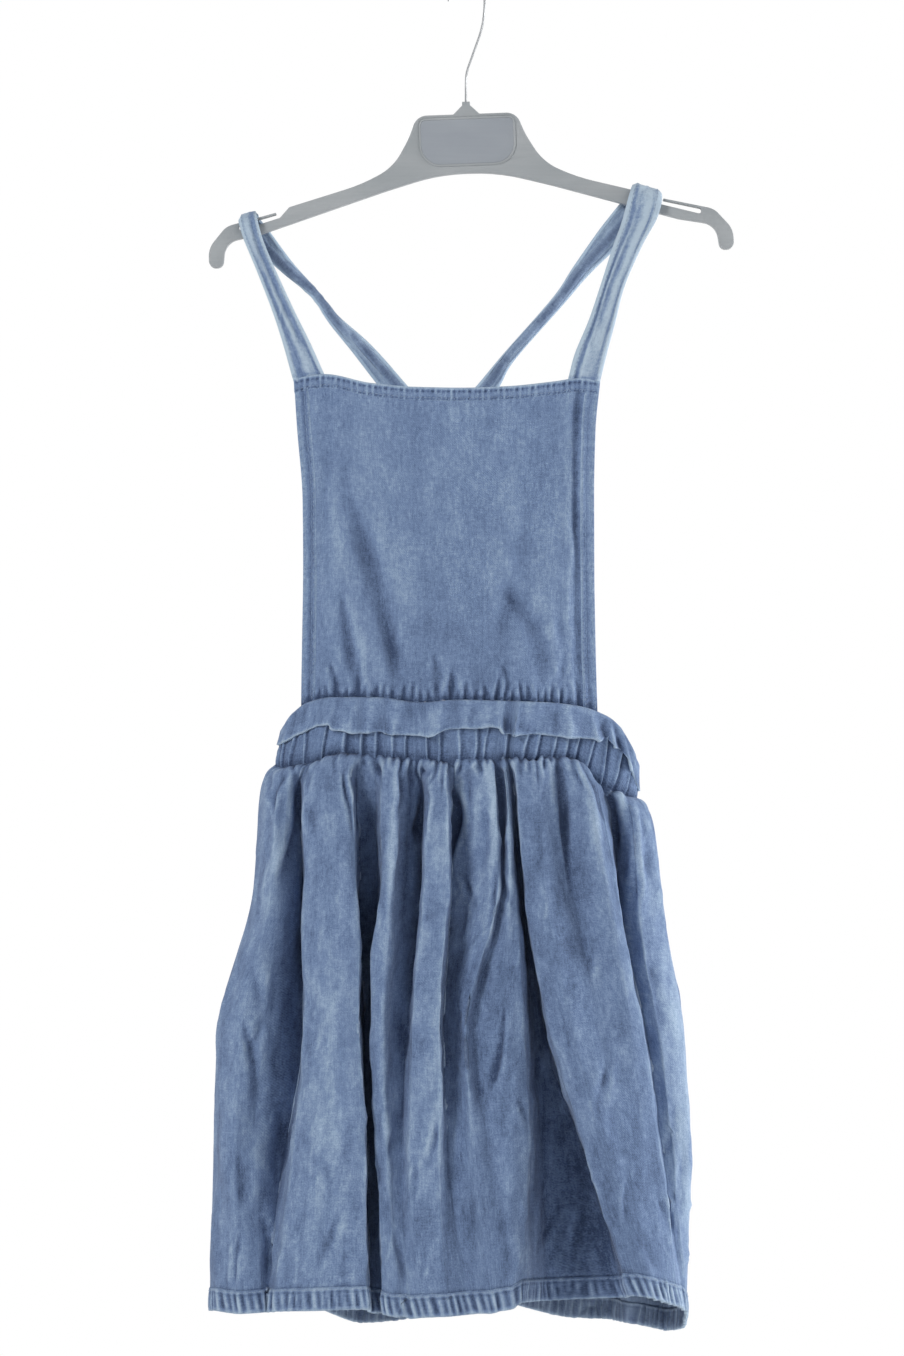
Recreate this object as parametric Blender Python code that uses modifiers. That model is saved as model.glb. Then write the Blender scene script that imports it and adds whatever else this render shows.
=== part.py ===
"""Child's denim pinafore dress on its moulded top hanger.

Frame: metres, +Z up, the wearer's front towards -Y, "left" and "right" as seen from the front (-X and +X).
The origin is the bearing point under the top of the wire hook. Tables are in millimetres; their column
"out" is the distance in front of the plane of the hanger, and for back panels the distance behind it.
"""

from bisect import bisect_right
from math import atan2, cos, exp, hypot, pi, radians, sin, sqrt, tan
from typing import NamedTuple

import bmesh
import bpy
from mathutils import Vector

MM = 0.001

# Cloth
WALL = 1.2  # one layer of denim with its loft
HEM_WALL = 2.2  # a folded hem
STRAP_WALL = 2.4  # a strap sewn double
FLAP_WALL = 1.8  # the fold-down strip at the waist
GAP = 0.3  # between sewn pieces
GATHER_GAP = 0.9  # above a gathered edge, whose folds tilt its rim
CORNER_GAP = 0.7  # under the curved top hem
HEM_GAP = 0.6  # above the skirt hem, where the folds slant
HEM_RISE = 0.5  # how far a hem stands out from its panel

# Skirt and waist
HEM_DEPTH = 16.0
LEVELS = (0.0, 0.22, 0.5, 0.75, 1.0)  # seam, high, middle, low, hem
WAIST_MIDDLE = -3.5
WAIST_HALF = 108.0
WAIST_DEPTH_FRONT = 38.0
WAIST_DEPTH_BACK = 36.0
WAIST_SQUARENESS = 2.2
FLAP_FLARE = 2.5  # how far the free edge of the strip stands off
PUFF_MIDDLE = -8.0
PUFF_ASIDE = 0.085  # share by which the gathered seam is drawn in from the fullness below it
PUFF_OUT = 0.1
PUFF_DOWN = 0.02  # share of the skirt's height in which the fullness comes
ROWS = (0.0, 0.022, 0.075, 0.17, 0.29, 0.41, 0.53, 0.65, 0.77, 0.89, 1.0)  # where the rows of a skirt panel lie

# Bib
BIB_TOP_HEM = 8.0
BIB_SIDE_HEM = 8.8
BIB_OUT_TOP = 10.0

# Hanger
TILT = radians(2.1)
HANGER_TOP = -83.6  # top of the boss under the hook
HANGER_THICKNESS = 6.0
HANGER_EDGE = 0.45
WIRE_RADIUS = 0.7
HOOK_RADIUS = 27.0  # inside of the hook
HOOK_SWIVEL = radians(66)
BORE_RADIUS = 1.2
BORE_DEPTH = 6.0


class Fold(NamedTuple):
    """One ridge or valley line of a skirt panel, from the waist seam to the hem."""

    name: str
    seam_z: float
    hem_z: float
    across: tuple  # X at the five levels
    out: tuple  # distance from the plane of the hanger at the five levels


SKIRT_FRONT = (
    Fold("side_left", -489, -824, (-126, -130, -152.5, -155, -157), (0, 0, 0, 0, 0)),
    Fold("left_turn", -490, -821, (-123, -126, -148.5, -151, -152.5), (14, 16, 18, 20, 20)),
    Fold("left_panel", -489, -821, (-115, -119, -137, -140, -139), (24, 28, 30, 33, 34)),
    Fold("first_valley_near", -488, -820, (-108, -113, -125, -129, -125), (29, 26, 27, 29, 33)),
    Fold("first_valley", -488, -820, (-103, -101, -102, -111, -121), (31, 10, 3, 8, 24)),
    Fold("broad_ridge_left", -486, -819, (-98, -98.5, -98.5, -106, -116), (32, 32, 35, 38, 38)),
    Fold("broad_ridge", -481, -816, (-85, -83, -82, -85, -89), (35, 42, 48, 52, 52)),
    Fold("broad_ridge_right", -482, -816, (-73, -67.5, -64, -61.5, -61), (35, 38, 43, 46, 46)),
    Fold("second_valley", -482, -821, (-67, -65, -63, -60, -58), (35, 8, 2, 4, 14)),
    Fold("second_valley_far", -483, -820, (-56, -55, -57.5, -54, -51), (36, 16, 10, 14, 28)),
    Fold("narrow_ridge_left", -483, -820, (-50, -52, -56, -52, -47.5), (36, 38, 38, 38, 41)),
    Fold("narrow_ridge", -484, -821, (-40, -43, -49, -46, -41), (37, 42, 43, 42, 44)),
    Fold("third_valley", -485, -822, (-25, -30, -39, -40, -33), (37, 18, 25, 37, 45)),
    Fold("centre_ridge_left", -485, -821, (-18, -23, -33, -34, -26), (38, 40, 44, 45, 47)),
    Fold("centre_ridge_right", -486, -820, (-11, -12, -16.5, -16, -10), (38, 42, 48, 51, 50)),
    Fold("fourth_valley", -486, -819, (-5, -7, -13, -9, 2), (38, 20, 26, 41, 48)),
    Fold("middle_panel", -485, -818, (7, 8, -3, 3, 11), (39, 36, 35, 46, 50)),
    Fold("fifth_valley", -485, -817, (17, 19.5, 7, 14, 20), (38, 21, 32, 44, 48)),
    Fold("recess_ridge", -484, -816, (21, 25, 25, 28, 26), (38, 38, 44, 49, 46)),
    Fold("recess_edge", -484, -813, (25, 30, 35.5, 38.5, 33), (38, 34, 40, 42, 40)),
    Fold("recess_floor_left", -484, -819, (30, 32, 40, 45, 49), (37, 15, 5, -4, -9)),
    Fold("recess_floor_right", -484, -817, (34, 35, 51, 73, 90), (37, 14, 4, -3, -5)),
    Fold("big_panel_edge", -484, -807, (39, 36, 51, 74, 94), (37, 36, 42, 48, 52)),
    Fold("big_panel", -484, -807, (48, 51, 64, 84, 103), (37, 44, 52, 56, 55)),
    Fold("big_panel_trough", -483, -809, (60, 66, 80, 95, 112), (34, 31, 46, 53, 53)),
    Fold("right_ridge", -484, -812, (73, 83, 99, 109, 121), (31, 42, 46, 47, 47)),
    Fold("right_ridge_edge", -493, -816, (80, 90.5, 108, 118.5, 129), (28, 36, 40, 41, 38)),
    Fold("side_valley", -502, -819, (90, 95, 112, 122, 132), (23, 14, 21, 23, 24)),
    Fold("side_ridge", -505, -822, (101, 105, 121, 129, 134), (18, 24, 21, 20, 18)),
    Fold("right_turn", -508, -827, (111, 118, 132, 136, 135), (10, 12, 10, 10, 8)),
    Fold("side_right", -509, -830, (114, 121.5, 135, 137, 135), (0, 0, 0, 0, 0)),
)

SKIRT_BACK = (
    Fold("side_right", -509, -830, (114, 121.5, 135, 137, 135), (0, 0, 0, 0, 0)),
    Fold("right_turn", -511, -838, (110, 118, 131, 134, 133), (12, 14, 16, 16, 16)),
    Fold("right_ridge", -516, -843, (96, 104, 114, 121, 124), (21, 31, 36, 40, 42)),
    Fold("right_valley", -518, -836, (79, 85, 92, 99, 103), (28, 18, 16, 20, 24)),
    Fold("right_panel_edge", -518, -837, (70, 77, 83, 88, 92), (31, 36, 42, 44, 46)),
    Fold("right_panel", -519, -836, (52, 58, 61, 60, 58), (34, 42, 50, 53, 54)),
    Fold("seat_valley", -520, -821, (36, 37, 33, 27, 22), (36, 22, 14, 12, 14)),
    Fold("seat_ridge", -520, -831, (24, 23, 17, 12, 9), (37, 40, 41, 40, 38)),
    Fold("seat_panel", -520, -831, (4, 0, -8, -12, -14), (37, 43, 51, 54, 54)),
    Fold("middle_valley", -520, -835, (-18, -24, -34, -40, -42), (37, 26, 24, 28, 32)),
    Fold("left_panel", -519, -839, (-38, -46, -58, -66, -68), (35, 40, 44, 46, 46)),
    Fold("left_valley", -516, -824, (-62, -71, -83, -90, -93), (31, 20, 14, 12, 14)),
    Fold("left_ridge_inner", -514, -827, (-74, -81, -95, -103, -106), (29, 35, 38, 38, 38)),
    Fold("left_ridge", -509, -826, (-92, -102, -117, -124, -127), (23, 30, 34, 36, 36)),
    Fold("left_turn", -497, -825, (-121, -125, -146, -149, -151), (13, 16, 18, 20, 20)),
    Fold("side_left", -489, -824, (-126, -130, -152.5, -155, -157), (0, 0, 0, 0, 0)),
)


class WaistRow(NamedTuple):
    """The fold-down strip at one place round the waist."""

    name: str
    across: float
    top_z: float
    free_edge_z: float


WAIST_FRONT = (
    WaistRow("side_left", -111.5, -468, -476),
    WaistRow("turn_left", -105, -458, -473),
    WaistRow("left", -95, -451, -468.5),
    WaistRow("left_dip", -80, -448, -462.5),
    WaistRow("left_middle", -54, -448, -467),
    WaistRow("middle_left", -26, -451, -468),
    WaistRow("middle", -5, -449.5, -465),
    WaistRow("middle_right", 25, -450, -464),
    WaistRow("right_middle", 48, -451, -468),
    WaistRow("right", 69, -453.5, -469.5),
    WaistRow("right_shoulder", 87, -460.5, -473.5),
    WaistRow("turn_right", 96.5, -470.5, -482),
    WaistRow("side_right", 104.5, -488, -502),
)

WAIST_BACK = (
    WaistRow("side_left", -111.5, -468, -476),
    WaistRow("left", -97, -474, -490),
    WaistRow("middle_left", -60, -478, -496),
    WaistRow("middle", -5, -481, -499),
    WaistRow("middle_right", 50, -484, -502),
    WaistRow("right", 87, -488, -505),
    WaistRow("side_right", 104.5, -488, -502),
)


class BibRow(NamedTuple):
    """The two side edges of the bib at a share of its height below the top."""

    name: str
    down: float
    left: float
    right: float


BIB_SIDES = (
    BibRow("top", 0.0, -105, 82),
    BibRow("upper", 0.15, -103, 79),
    BibRow("chest", 0.37, -99.5, 78),
    BibRow("middle", 0.58, -99, 78),
    BibRow("lower", 0.79, -99.5, 78.5),
    BibRow("waist", 1.0, -100, 79.5),
)


class EdgeRow(NamedTuple):
    """The height of the bib's top edge at a share of its width."""

    name: str
    share: float
    z: float


BIB_TOP = (
    EdgeRow("left_corner", 0.0, -253.5),
    EdgeRow("left_strap", 0.1, -251),
    EdgeRow("left_sag", 0.25, -256.5),
    EdgeRow("left_middle", 0.4, -259),
    EdgeRow("middle", 0.55, -259.5),
    EdgeRow("right_middle", 0.7, -258.5),
    EdgeRow("right_sag", 0.85, -255.5),
    EdgeRow("right_strap", 0.93, -253.5),
    EdgeRow("right_corner", 1.0, -255),
)


class Crease(NamedTuple):
    """A soft trough in the bib, straight between two points."""

    name: str
    top_x: float
    top_z: float
    foot_x: float
    foot_z: float
    half_width: float
    depth: float


BIB_CREASES = (
    Crease("long_left", -66, -335, -42, -434, 8, 2.6),
    Crease("short_left", -72, -390, -68, -426, 6, 1.4),
    Crease("long_right", 41, -300, 40, -424, 8, 1.6),
)


class StrapRow(NamedTuple):
    """A strap at one place: its left and right edges as X, Z and distance out."""

    name: str
    left: tuple
    right: tuple


STRAP_LEFT = (
    StrapRow("at_bib", (-106.1, -252.6, 11), (-87, -249.8, 11)),
    StrapRow("low", (-112.2, -230.8, 11), (-95.5, -230.8, 11)),
    StrapRow("middle", (-119, -210.3, 10), (-105.6, -210.3, 10)),
    StrapRow("high", (-129, -184.8, 9), (-117.3, -184.8, 9)),
    StrapRow("arm_front", (-136.1, -167.6, 8), (-124.5, -167, 8)),
    StrapRow("shoulder_front", (-139, -156.6, 8), (-127.7, -153.6, 8)),
    StrapRow("shoulder_top", (-138.4, -152.6, 0), (-127.5, -149.6, 0)),
    StrapRow("shoulder_back", (-137.3, -156.6, -8), (-126.2, -153.6, -8)),
    StrapRow("arm_back", (-132.1, -168.9, -8), (-119.8, -162.8, -8)),
    StrapRow("back_high", (-113.7, -186.6, -9), (-106.4, -181, -9)),
    StrapRow("twist", (-95.1, -202.8, -8), (-90.6, -199.2, -13)),
    StrapRow("below_twist", (-84.8, -218, -9), (-79, -213.3, -13)),
    StrapRow("back_low", (-70.1, -235.6, -12), (-59.6, -230.1, -12)),
    StrapRow("bib_level", (-51.4, -259.8, -13), (-40.8, -250.8, -13)),
    StrapRow("crossing", (-20.8, -297.7, -14), (-9.7, -289.1, -14)),
    StrapRow("under_cross", (-1.1, -341.4, -16), (12.5, -336.5, -16)),
    StrapRow("back_middle", (26.2, -415.4, -22), (40.4, -411.1, -22)),
    StrapRow("waist", (50, -482.6, -30.5), (66, -484, -28.5)),
)

STRAP_RIGHT = (
    StrapRow("at_bib", (62.6, -253, 11), (82.3, -254, 11)),
    StrapRow("low", (66.6, -238, 11), (86.5, -236.9, 11)),
    StrapRow("middle", (75, -217.9, 10), (91.3, -219.1, 10)),
    StrapRow("high", (82.4, -195.9, 9.5), (97.1, -196.9, 9.5)),
    StrapRow("upper", (89.8, -172.6, 9), (107.6, -172.6, 9)),
    StrapRow("arm_front", (94.8, -157.9, 8), (116.2, -156, 8)),
    StrapRow("shoulder_front", (99.7, -138.6, 8.2), (119.6, -143.8, 8.2)),
    StrapRow("shoulder_top", (102.3, -132.6, 0), (120, -137.6, 0)),
    StrapRow("shoulder_back", (99.7, -138.2, -8.2), (118.3, -143.5, -8.2)),
    StrapRow("arm_back", (88.7, -152.3, -8), (104.7, -162.1, -8)),
    StrapRow("back_high", (81, -162.2, -9), (93.1, -171.9, -9)),
    StrapRow("twist", (66.2, -183.3, -10), (75.3, -189, -10)),
    StrapRow("below_twist", (53.5, -202.3, -11), (59.9, -206.8, -11)),
    StrapRow("back_low", (23.8, -236, -13), (29.8, -241.1, -13)),
    StrapRow("bib_level", (8.2, -254.5, -15), (18.7, -260, -15)),
    StrapRow("crossing", (-20.8, -288.9, -18.5), (-9.7, -297.5, -18.5)),
    StrapRow("under_cross", (-40, -336.4, -18), (-26.4, -341.3, -18)),
    StrapRow("back_middle", (-64.2, -411.1, -23), (-49.9, -415.4, -23)),
    StrapRow("waist", (-78, -475.4, -28.3), (-61, -477, -30.7)),
)


class Corner(NamedTuple):
    """A corner of the hanger's half outline; Z is from the top of the boss, before the hanger tilts."""

    name: str
    x: float
    z: float
    radius: float


HANGER_HALF = (
    Corner("boss_top", 2.4, 0.0, 0.4),
    Corner("boss_foot", 2.4, -2.2, 0.5),
    Corner("gusset_foot", 8.0, -7.6, 1.0),
    Corner("block_corner", 30.5, -7.6, 4.5),
    Corner("block_side", 35.5, -20.0, 12.0),
    Corner("neck", 46.0, -37.5, 18.0),
    Corner("arm_root", 66.0, -47.3, 30.0),
    Corner("arm_top", 110.5, -60.6, 2.0),
    Corner("slot_floor_inner", 116.4, -66.9, 2.0),
    Corner("slot_floor_outer", 141.3, -73.9, 1.5),
    Corner("slot_roof_outer", 142.0, -70.6, 1.4),
    Corner("tongue_tip_under", 118.6, -64.8, 0.55),
    Corner("tongue_tip_top", 118.6, -63.6, 0.55),
    Corner("arm_shoulder", 149.5, -71.0, 12.0),
    Corner("arm_end", 160.8, -84.0, 14.0),
    Corner("tip_outer", 160.8, -96.0, 4.2),
    Corner("tip_inner", 152.3, -96.0, 4.0),
    Corner("inner_bend", 150.3, -80.6, 11.0),
    Corner("arm_under", 127.5, -76.2, 20.0),
    Corner("under_middle", 51.8, -53.0, 60.0),
    Corner("under_block", 18.0, -43.0, 30.0),
)

PLATE_HALF_WIDTH = 28.5
PLATE_TOP = -10.5
PLATE_BOTTOM = -38.0
PLATE_CORNER = 12.0
PLATE_TOP_CORNER = 3.0
PLATE_RECESS = 0.6


# Curves through the tables


def between(places, values, place):
    """Smooth value at a place, with no overshoot at a turning point."""
    i = min(max(bisect_right(places, place) - 1, 0), len(places) - 2)
    steps = [places[k + 1] - places[k] for k in range(len(places) - 1)]
    rises = [(values[k + 1] - values[k]) / steps[k] for k in range(len(steps))]

    def slope(k):
        if k == 0:
            return rises[0]
        if k == len(places) - 1:
            return rises[-1]
        a, b = rises[k - 1], rises[k]
        return 0.0 if a * b <= 0 else 2 * a * b / (a + b)

    t = (place - places[i]) / steps[i]
    a, b = values[i], values[i + 1]
    m, n = slope(i) * steps[i], slope(i + 1) * steps[i]
    return (2 * t**3 - 3 * t**2 + 1) * a + (t**3 - 2 * t**2 + t) * m + (3 * t**2 - 2 * t**3) * b + (t**3 - t**2) * n


def through(points, place):
    """Point of a smooth curve through these points; place counts points."""
    last = len(points) - 1
    i = min(max(int(place), 0), last - 1)
    t = place - i
    b, c = points[i], points[i + 1]
    a = points[i - 1] if i > 0 else b + (b - c)
    d = points[i + 2] if i + 2 <= last else c + (c - b)
    return 0.5 * ((2 * b) + (c - a) * t + (2 * a - 5 * b + 4 * c - d) * t**2 + (3 * b - a - 3 * c + d) * t**3)


class Panel:
    """A skirt panel: a smooth sheet through its fold lines."""

    def __init__(self, folds, side):
        self.folds = folds
        self.side = side  # -1 in front of the hanger, +1 behind it
        self.places = self.spread()

    def line_point(self, fold, down):
        """Point of a fold line, down = 0 at the waist seam and 1 at the hem."""
        drawn = exp(-down / PUFF_DOWN)
        x = between(LEVELS, fold.across, down)
        return Vector(
            (
                x - (x - PUFF_MIDDLE) * PUFF_ASIDE * drawn,
                self.side * between(LEVELS, fold.out, down) * (1 - PUFF_OUT * drawn),
                fold.seam_z + (fold.hem_z - fold.seam_z) * down,
            )
        )

    def spread(self):
        """Shares the sheet's width out between folds, half evenly and half by their distance."""
        gaps = len(self.folds) - 1
        spans = [
            sum(
                hypot(b.across[k] - a.across[k], b.out[k] - a.out[k])
                for k in range(len(LEVELS))
            )
            for a, b in zip(self.folds, self.folds[1:])
        ]
        total, places = sum(spans), [0.0]
        for span in spans:
            places.append(places[-1] + 0.5 / gaps + 0.5 * span / total)
        return places

    def point(self, u, down):
        """Point of the sheet in millimetres, u = 0 and 1 at the side seams."""
        i = min(max(bisect_right(self.places, u) - 1, 0), len(self.places) - 2)
        place = i + (u - self.places[i]) / (self.places[i + 1] - self.places[i])
        row = [self.line_point(fold, down) for fold in self.folds]
        first, last = row[0], row[-1]
        mirrored_first = Vector((row[1].x, -row[1].y, row[1].z))
        mirrored_last = Vector((row[-2].x, -row[-2].y, row[-2].z))
        return through([mirrored_first, first, *row[1:-1], last, mirrored_last], place + 1)


FRONT = Panel(SKIRT_FRONT, -1)
BACK = Panel(SKIRT_BACK, 1)


def waist_reach(x):
    """How round the waist is at X: 1 in the middle and 0 at the sides."""
    share = min(abs(x - WAIST_MIDDLE) / WAIST_HALF, 1.0)
    return (1 - share**WAIST_SQUARENESS) ** (1 / WAIST_SQUARENESS)


def waist_z(rows, x, column):
    return between([row.across for row in rows], [row[column] for row in rows], x)


class Waist:
    """The casing between the skirt's seam and the top of the waist, one half of the ring."""

    def __init__(self, panel, rows, depth):
        self.panel, self.rows, self.depth = panel, rows, depth
        self.seam_middle = (panel.folds[0].across[0] + panel.folds[-1].across[0]) / 2

    def top(self, foot):
        """Point of the top ring in the same direction from the middle as a point of the seam."""
        bend = WAIST_SQUARENESS
        turn = atan2(foot.y, foot.x - self.seam_middle)
        aside, off = cos(turn), sin(turn)
        reach = (abs(aside / WAIST_HALF) ** bend + abs(off / self.depth) ** bend) ** (-1 / bend)
        x = WAIST_MIDDLE + reach * aside
        return Vector((x, reach * off, waist_z(self.rows, x, 2)))

    def point(self, u, up):
        """Point of the casing, up = 0 at the skirt's seam and 1 at the top."""
        foot = self.panel.point(u, 0.0) + Vector((0, 0, GATHER_GAP))
        return foot.lerp(self.top(foot), up)

    def strip_foot(self, u):
        """How far up the casing the free edge of the strip hangs."""
        foot = self.panel.point(u, 0.0)
        top = self.top(foot)
        return (waist_z(self.rows, top.x, 3) - foot.z) / (top.z - foot.z)

    def outward(self, u, up):
        """Unit vector off the casing."""
        step = 0.002
        along = self.point(u + step, up) - self.point(u - step, up)
        rise = self.point(u, 1.0) - self.point(u, 0.0)
        return along.cross(rise).normalized()

    def strip_point(self, u, down):
        """Outer face of the fold-down strip, down = 0 at its fold and 1 at its free edge."""
        up = 1.0 + (self.strip_foot(u) - 1.0) * down
        off = GAP + FLAP_WALL + FLAP_FLARE * down**2
        return self.point(u, up) + self.outward(u, up) * off


WAISTBAND_FRONT = Waist(FRONT, WAIST_FRONT, WAIST_DEPTH_FRONT)
WAISTBAND_BACK = Waist(BACK, WAIST_BACK, WAIST_DEPTH_BACK)


def crease_depth(x, z):
    """How far the bib's creases pull it back at a point."""
    total = 0.0
    for crease in BIB_CREASES:
        run = Vector((crease.foot_x - crease.top_x, crease.foot_z - crease.top_z))
        at = Vector((x - crease.top_x, z - crease.top_z))
        along = at.dot(run) / run.length_squared
        fade = max(0.0, min(1.0, 4 * along, 4 * (1 - along)))
        aside = abs(at.cross(run)) / run.length / crease.half_width
        if aside < 1:
            total += crease.depth * fade * (1 + cos(pi * aside)) / 2
    return total


def bib_point(share, down):
    """Point of the bib, share = 0 at its left edge, down = 0 at its top edge."""
    rows = [row.down for row in BIB_SIDES]
    left = between(rows, [row.left for row in BIB_SIDES], down)
    right = between(rows, [row.right for row in BIB_SIDES], down)
    x = left + (right - left) * share
    top = between([row.share for row in BIB_TOP], [row.z for row in BIB_TOP], share)
    foot = waist_z(WAIST_FRONT, x, 2) + GATHER_GAP
    z = top + (foot - top) * down
    waist_out = WAIST_DEPTH_FRONT * waist_reach(x)
    sag = 4.0 * (1 - (2 * share - 1) ** 2) * (1 - down) ** 2
    ease = down**1.3
    out = BIB_OUT_TOP + (waist_out - BIB_OUT_TOP) * ease + sag - crease_depth(x, z)
    return Vector((x, -out, z))


def strap_point(rows, share, place):
    """Point of a strap's outer face; place counts rows from the bib over the shoulder to the back."""
    left = [Vector((row.left[0], -row.left[2], row.left[1])) for row in rows]
    right = [Vector((row.right[0], -row.right[2], row.right[1])) for row in rows]
    return through(left, place).lerp(through(right, place), share)


# Building


def collection_for(name, guide=False):
    """The object's own collection."""
    made = bpy.data.collections.new(name)
    bpy.context.scene.collection.children.link(made)
    made.hide_render = guide
    return made


def material_for(name, colour, roughness):
    made = bpy.data.materials.new(name)
    made.use_nodes = True
    shader = made.node_tree.nodes["Principled BSDF"]
    shader.inputs["Base Color"].default_value = (*colour, 1.0)
    shader.inputs["Roughness"].default_value = roughness
    return made


def object_from(bm, name, colour, roughness=0.9, guide=False):
    """Object of this mesh, with its material and in its collection."""
    mesh = bpy.data.meshes.new(name)
    bm.to_mesh(mesh)
    bm.free()
    made = bpy.data.objects.new(name, mesh)
    made.data.materials.append(material_for(name + "_finish", colour, roughness))
    collection_for(name, guide).objects.link(made)
    return made


def sheet(name, point, columns, rows, wall, colour):
    """Thin closed shell: a grid laid on point(u, v), thickened inwards from its outer face."""
    bm = bmesh.new()
    bmesh.ops.create_grid(bm, x_segments=columns, y_segments=rows, size=0.5)
    for vertex in bm.verts:
        vertex.co = point(vertex.co.x + 0.5, vertex.co.y + 0.5) * MM
    made = object_from(bm, name, colour)
    made.data.polygons.foreach_set("use_smooth", [True] * len(made.data.polygons))
    shell = made.modifiers.new("wall", "SOLIDIFY")
    shell.thickness = wall * MM
    shell.offset = -1.0
    shell.use_rim = True
    return made


DENIM = (0.16, 0.23, 0.37)
DENIM_WORN = (0.22, 0.30, 0.44)
GREY_PLASTIC = (0.42, 0.44, 0.46)
STEEL = (0.55, 0.57, 0.58)


def moved_out(point, u, v, off):
    """Point of a sheet moved off its outer face."""
    step = 0.004
    along = point(u + step, v) - point(u - step, v)
    rise = point(u, min(v + step, 1)) - point(u, max(v - step, 0))
    return point(u, v) + along.cross(rise).normalized() * off


def through_rows(share):
    """Where a row of the skirt lies, from its share of the rows."""
    place = share * (len(ROWS) - 1)
    i = min(int(place), len(ROWS) - 2)
    return ROWS[i] + (ROWS[i + 1] - ROWS[i]) * (place - i)


def make_skirt(panel, side_name, columns, rows, seam):
    """Skirt panel and its hem band, one half; seam is the share of the width left open at each side."""

    def cloth(u, v):
        return panel.point(seam + (1 - 2 * seam) * u, 1 - v)

    def height(u):
        return (panel.point(u, 0) - panel.point(u, 1)).length

    def skirt(u, v):
        low = (HEM_DEPTH + HEM_GAP) / height(u)
        down = through_rows(1 - v)
        return cloth(u, 1 - (1 - low) * down)

    def hem(u, v):
        return moved_out(cloth, u, v * HEM_DEPTH / height(u), HEM_RISE)

    sheet("skirt_" + side_name, skirt, columns, rows, WALL, DENIM)
    sheet("skirt_hem_" + side_name, hem, columns, 1, HEM_WALL, DENIM_WORN)


def make_waist(ring, side_name, columns, seam):
    """Elasticated casing and the fold-down strip over it, one half of the ring."""

    def casing(u, v):
        return ring.point(seam + (1 - 2 * seam) * u, v)

    def strip(u, v):
        return ring.strip_point(seam + (1 - 2 * seam) * u, 1 - v)

    sheet("waistband_" + side_name, casing, columns, 1, WALL, DENIM)
    sheet("waist_flap_" + side_name, strip, columns, 2, FLAP_WALL, DENIM_WORN)


def make_bib():
    """Bib panel with its top hem and two side hems."""
    width, height = 185.0, 193.0
    top = BIB_TOP_HEM / height
    below = (BIB_TOP_HEM + CORNER_GAP) / height
    side = BIB_SIDE_HEM / width
    inside = (BIB_SIDE_HEM + GAP) / width

    def cloth(u, v):
        return bib_point(u, 1 - v)

    def panel(u, v):
        return cloth(inside + (1 - 2 * inside) * u, (1 - below) * v)

    def top_hem(u, v):
        return moved_out(cloth, u, 1 - top + top * v, HEM_RISE)

    def left_hem(u, v):
        return moved_out(cloth, side * u, (1 - below) * v, HEM_RISE)

    def right_hem(u, v):
        return moved_out(cloth, 1 - side + side * u, (1 - below) * v, HEM_RISE)

    sheet("front_bib", panel, 16, 12, WALL, DENIM)
    sheet("bib_top_hem", top_hem, 16, 1, HEM_WALL, DENIM_WORN)
    sheet("bib_side_hem_left", left_hem, 1, 12, HEM_WALL, DENIM_WORN)
    sheet("bib_side_hem_right", right_hem, 1, 12, HEM_WALL, DENIM_WORN)


def make_strap(name, rows, columns, steps):
    """Shoulder strap, from the bib over the hanger to the back of the waist."""

    def strap(u, v):
        return strap_point(rows, u, v * (len(rows) - 1))

    sheet(name, strap, columns, steps, STRAP_WALL, DENIM_WORN)


def rounded(corners, closed=True, step=radians(15)):
    """Outline with each corner (x, z, radius) rounded by a fillet."""
    outline = []
    count = len(corners)
    for i, (x, z, radius) in enumerate(corners):
        at = Vector((x, z))
        if not closed and i in (0, count - 1):
            outline.append(at)
            continue
        before = Vector(corners[i - 1][:2]) - at
        after = Vector(corners[(i + 1) % count][:2]) - at
        angle = before.angle(after)
        if pi - angle < 0.02:
            continue
        room = 0.49 * min(before.length, after.length)
        cut = min(radius / tan(angle / 2), room)
        radius = cut * tan(angle / 2)
        start, end = at + before.normalized() * cut, at + after.normalized() * cut
        centre = at + (before.normalized() + after.normalized()).normalized() * (radius / sin(angle / 2))
        turn = pi - angle
        steps = max(2, round(turn / step))
        first = atan2(start.y - centre.y, start.x - centre.x)
        last = atan2(end.y - centre.y, end.x - centre.x)
        sweep = (last - first + pi) % (2 * pi) - pi
        for k in range(steps + 1):
            a = first + sweep * k / steps
            outline.append(centre + Vector((cos(a), sin(a))) * radius)
    return outline


def tilted(x, z):
    """Point of the hanger's own outline, hung under the hook."""
    return x * cos(TILT) - z * sin(TILT), HANGER_TOP + x * sin(TILT) + z * cos(TILT)


def slab(outline, front, back):
    """Closed slab between two distances from the plane of the hanger, from an outline."""
    bm = bmesh.new()
    corners = []
    for point in outline:
        x, z = tilted(point.x, point.y)
        corners.append(bm.verts.new(Vector((x, -front, z)) * MM))
    face = bm.faces.new(corners)
    grown = bmesh.ops.extrude_face_region(bm, geom=[face])["geom"]
    moved = [item for item in grown if isinstance(item, bmesh.types.BMVert)]
    bmesh.ops.translate(bm, verts=moved, vec=Vector((0, (front - back) * MM, 0)))
    bmesh.ops.recalc_face_normals(bm, faces=bm.faces)
    return bm


def cut_away(target, cutter):
    """Exact Boolean difference that leaves the cutter out of the render."""
    cut = target.modifiers.new("cut_" + cutter.name, "BOOLEAN")
    cut.operation, cut.solver, cut.object = "DIFFERENCE", "EXACT", cutter
    cutter.hide_render = True
    cutter.display_type = "WIRE"


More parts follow.
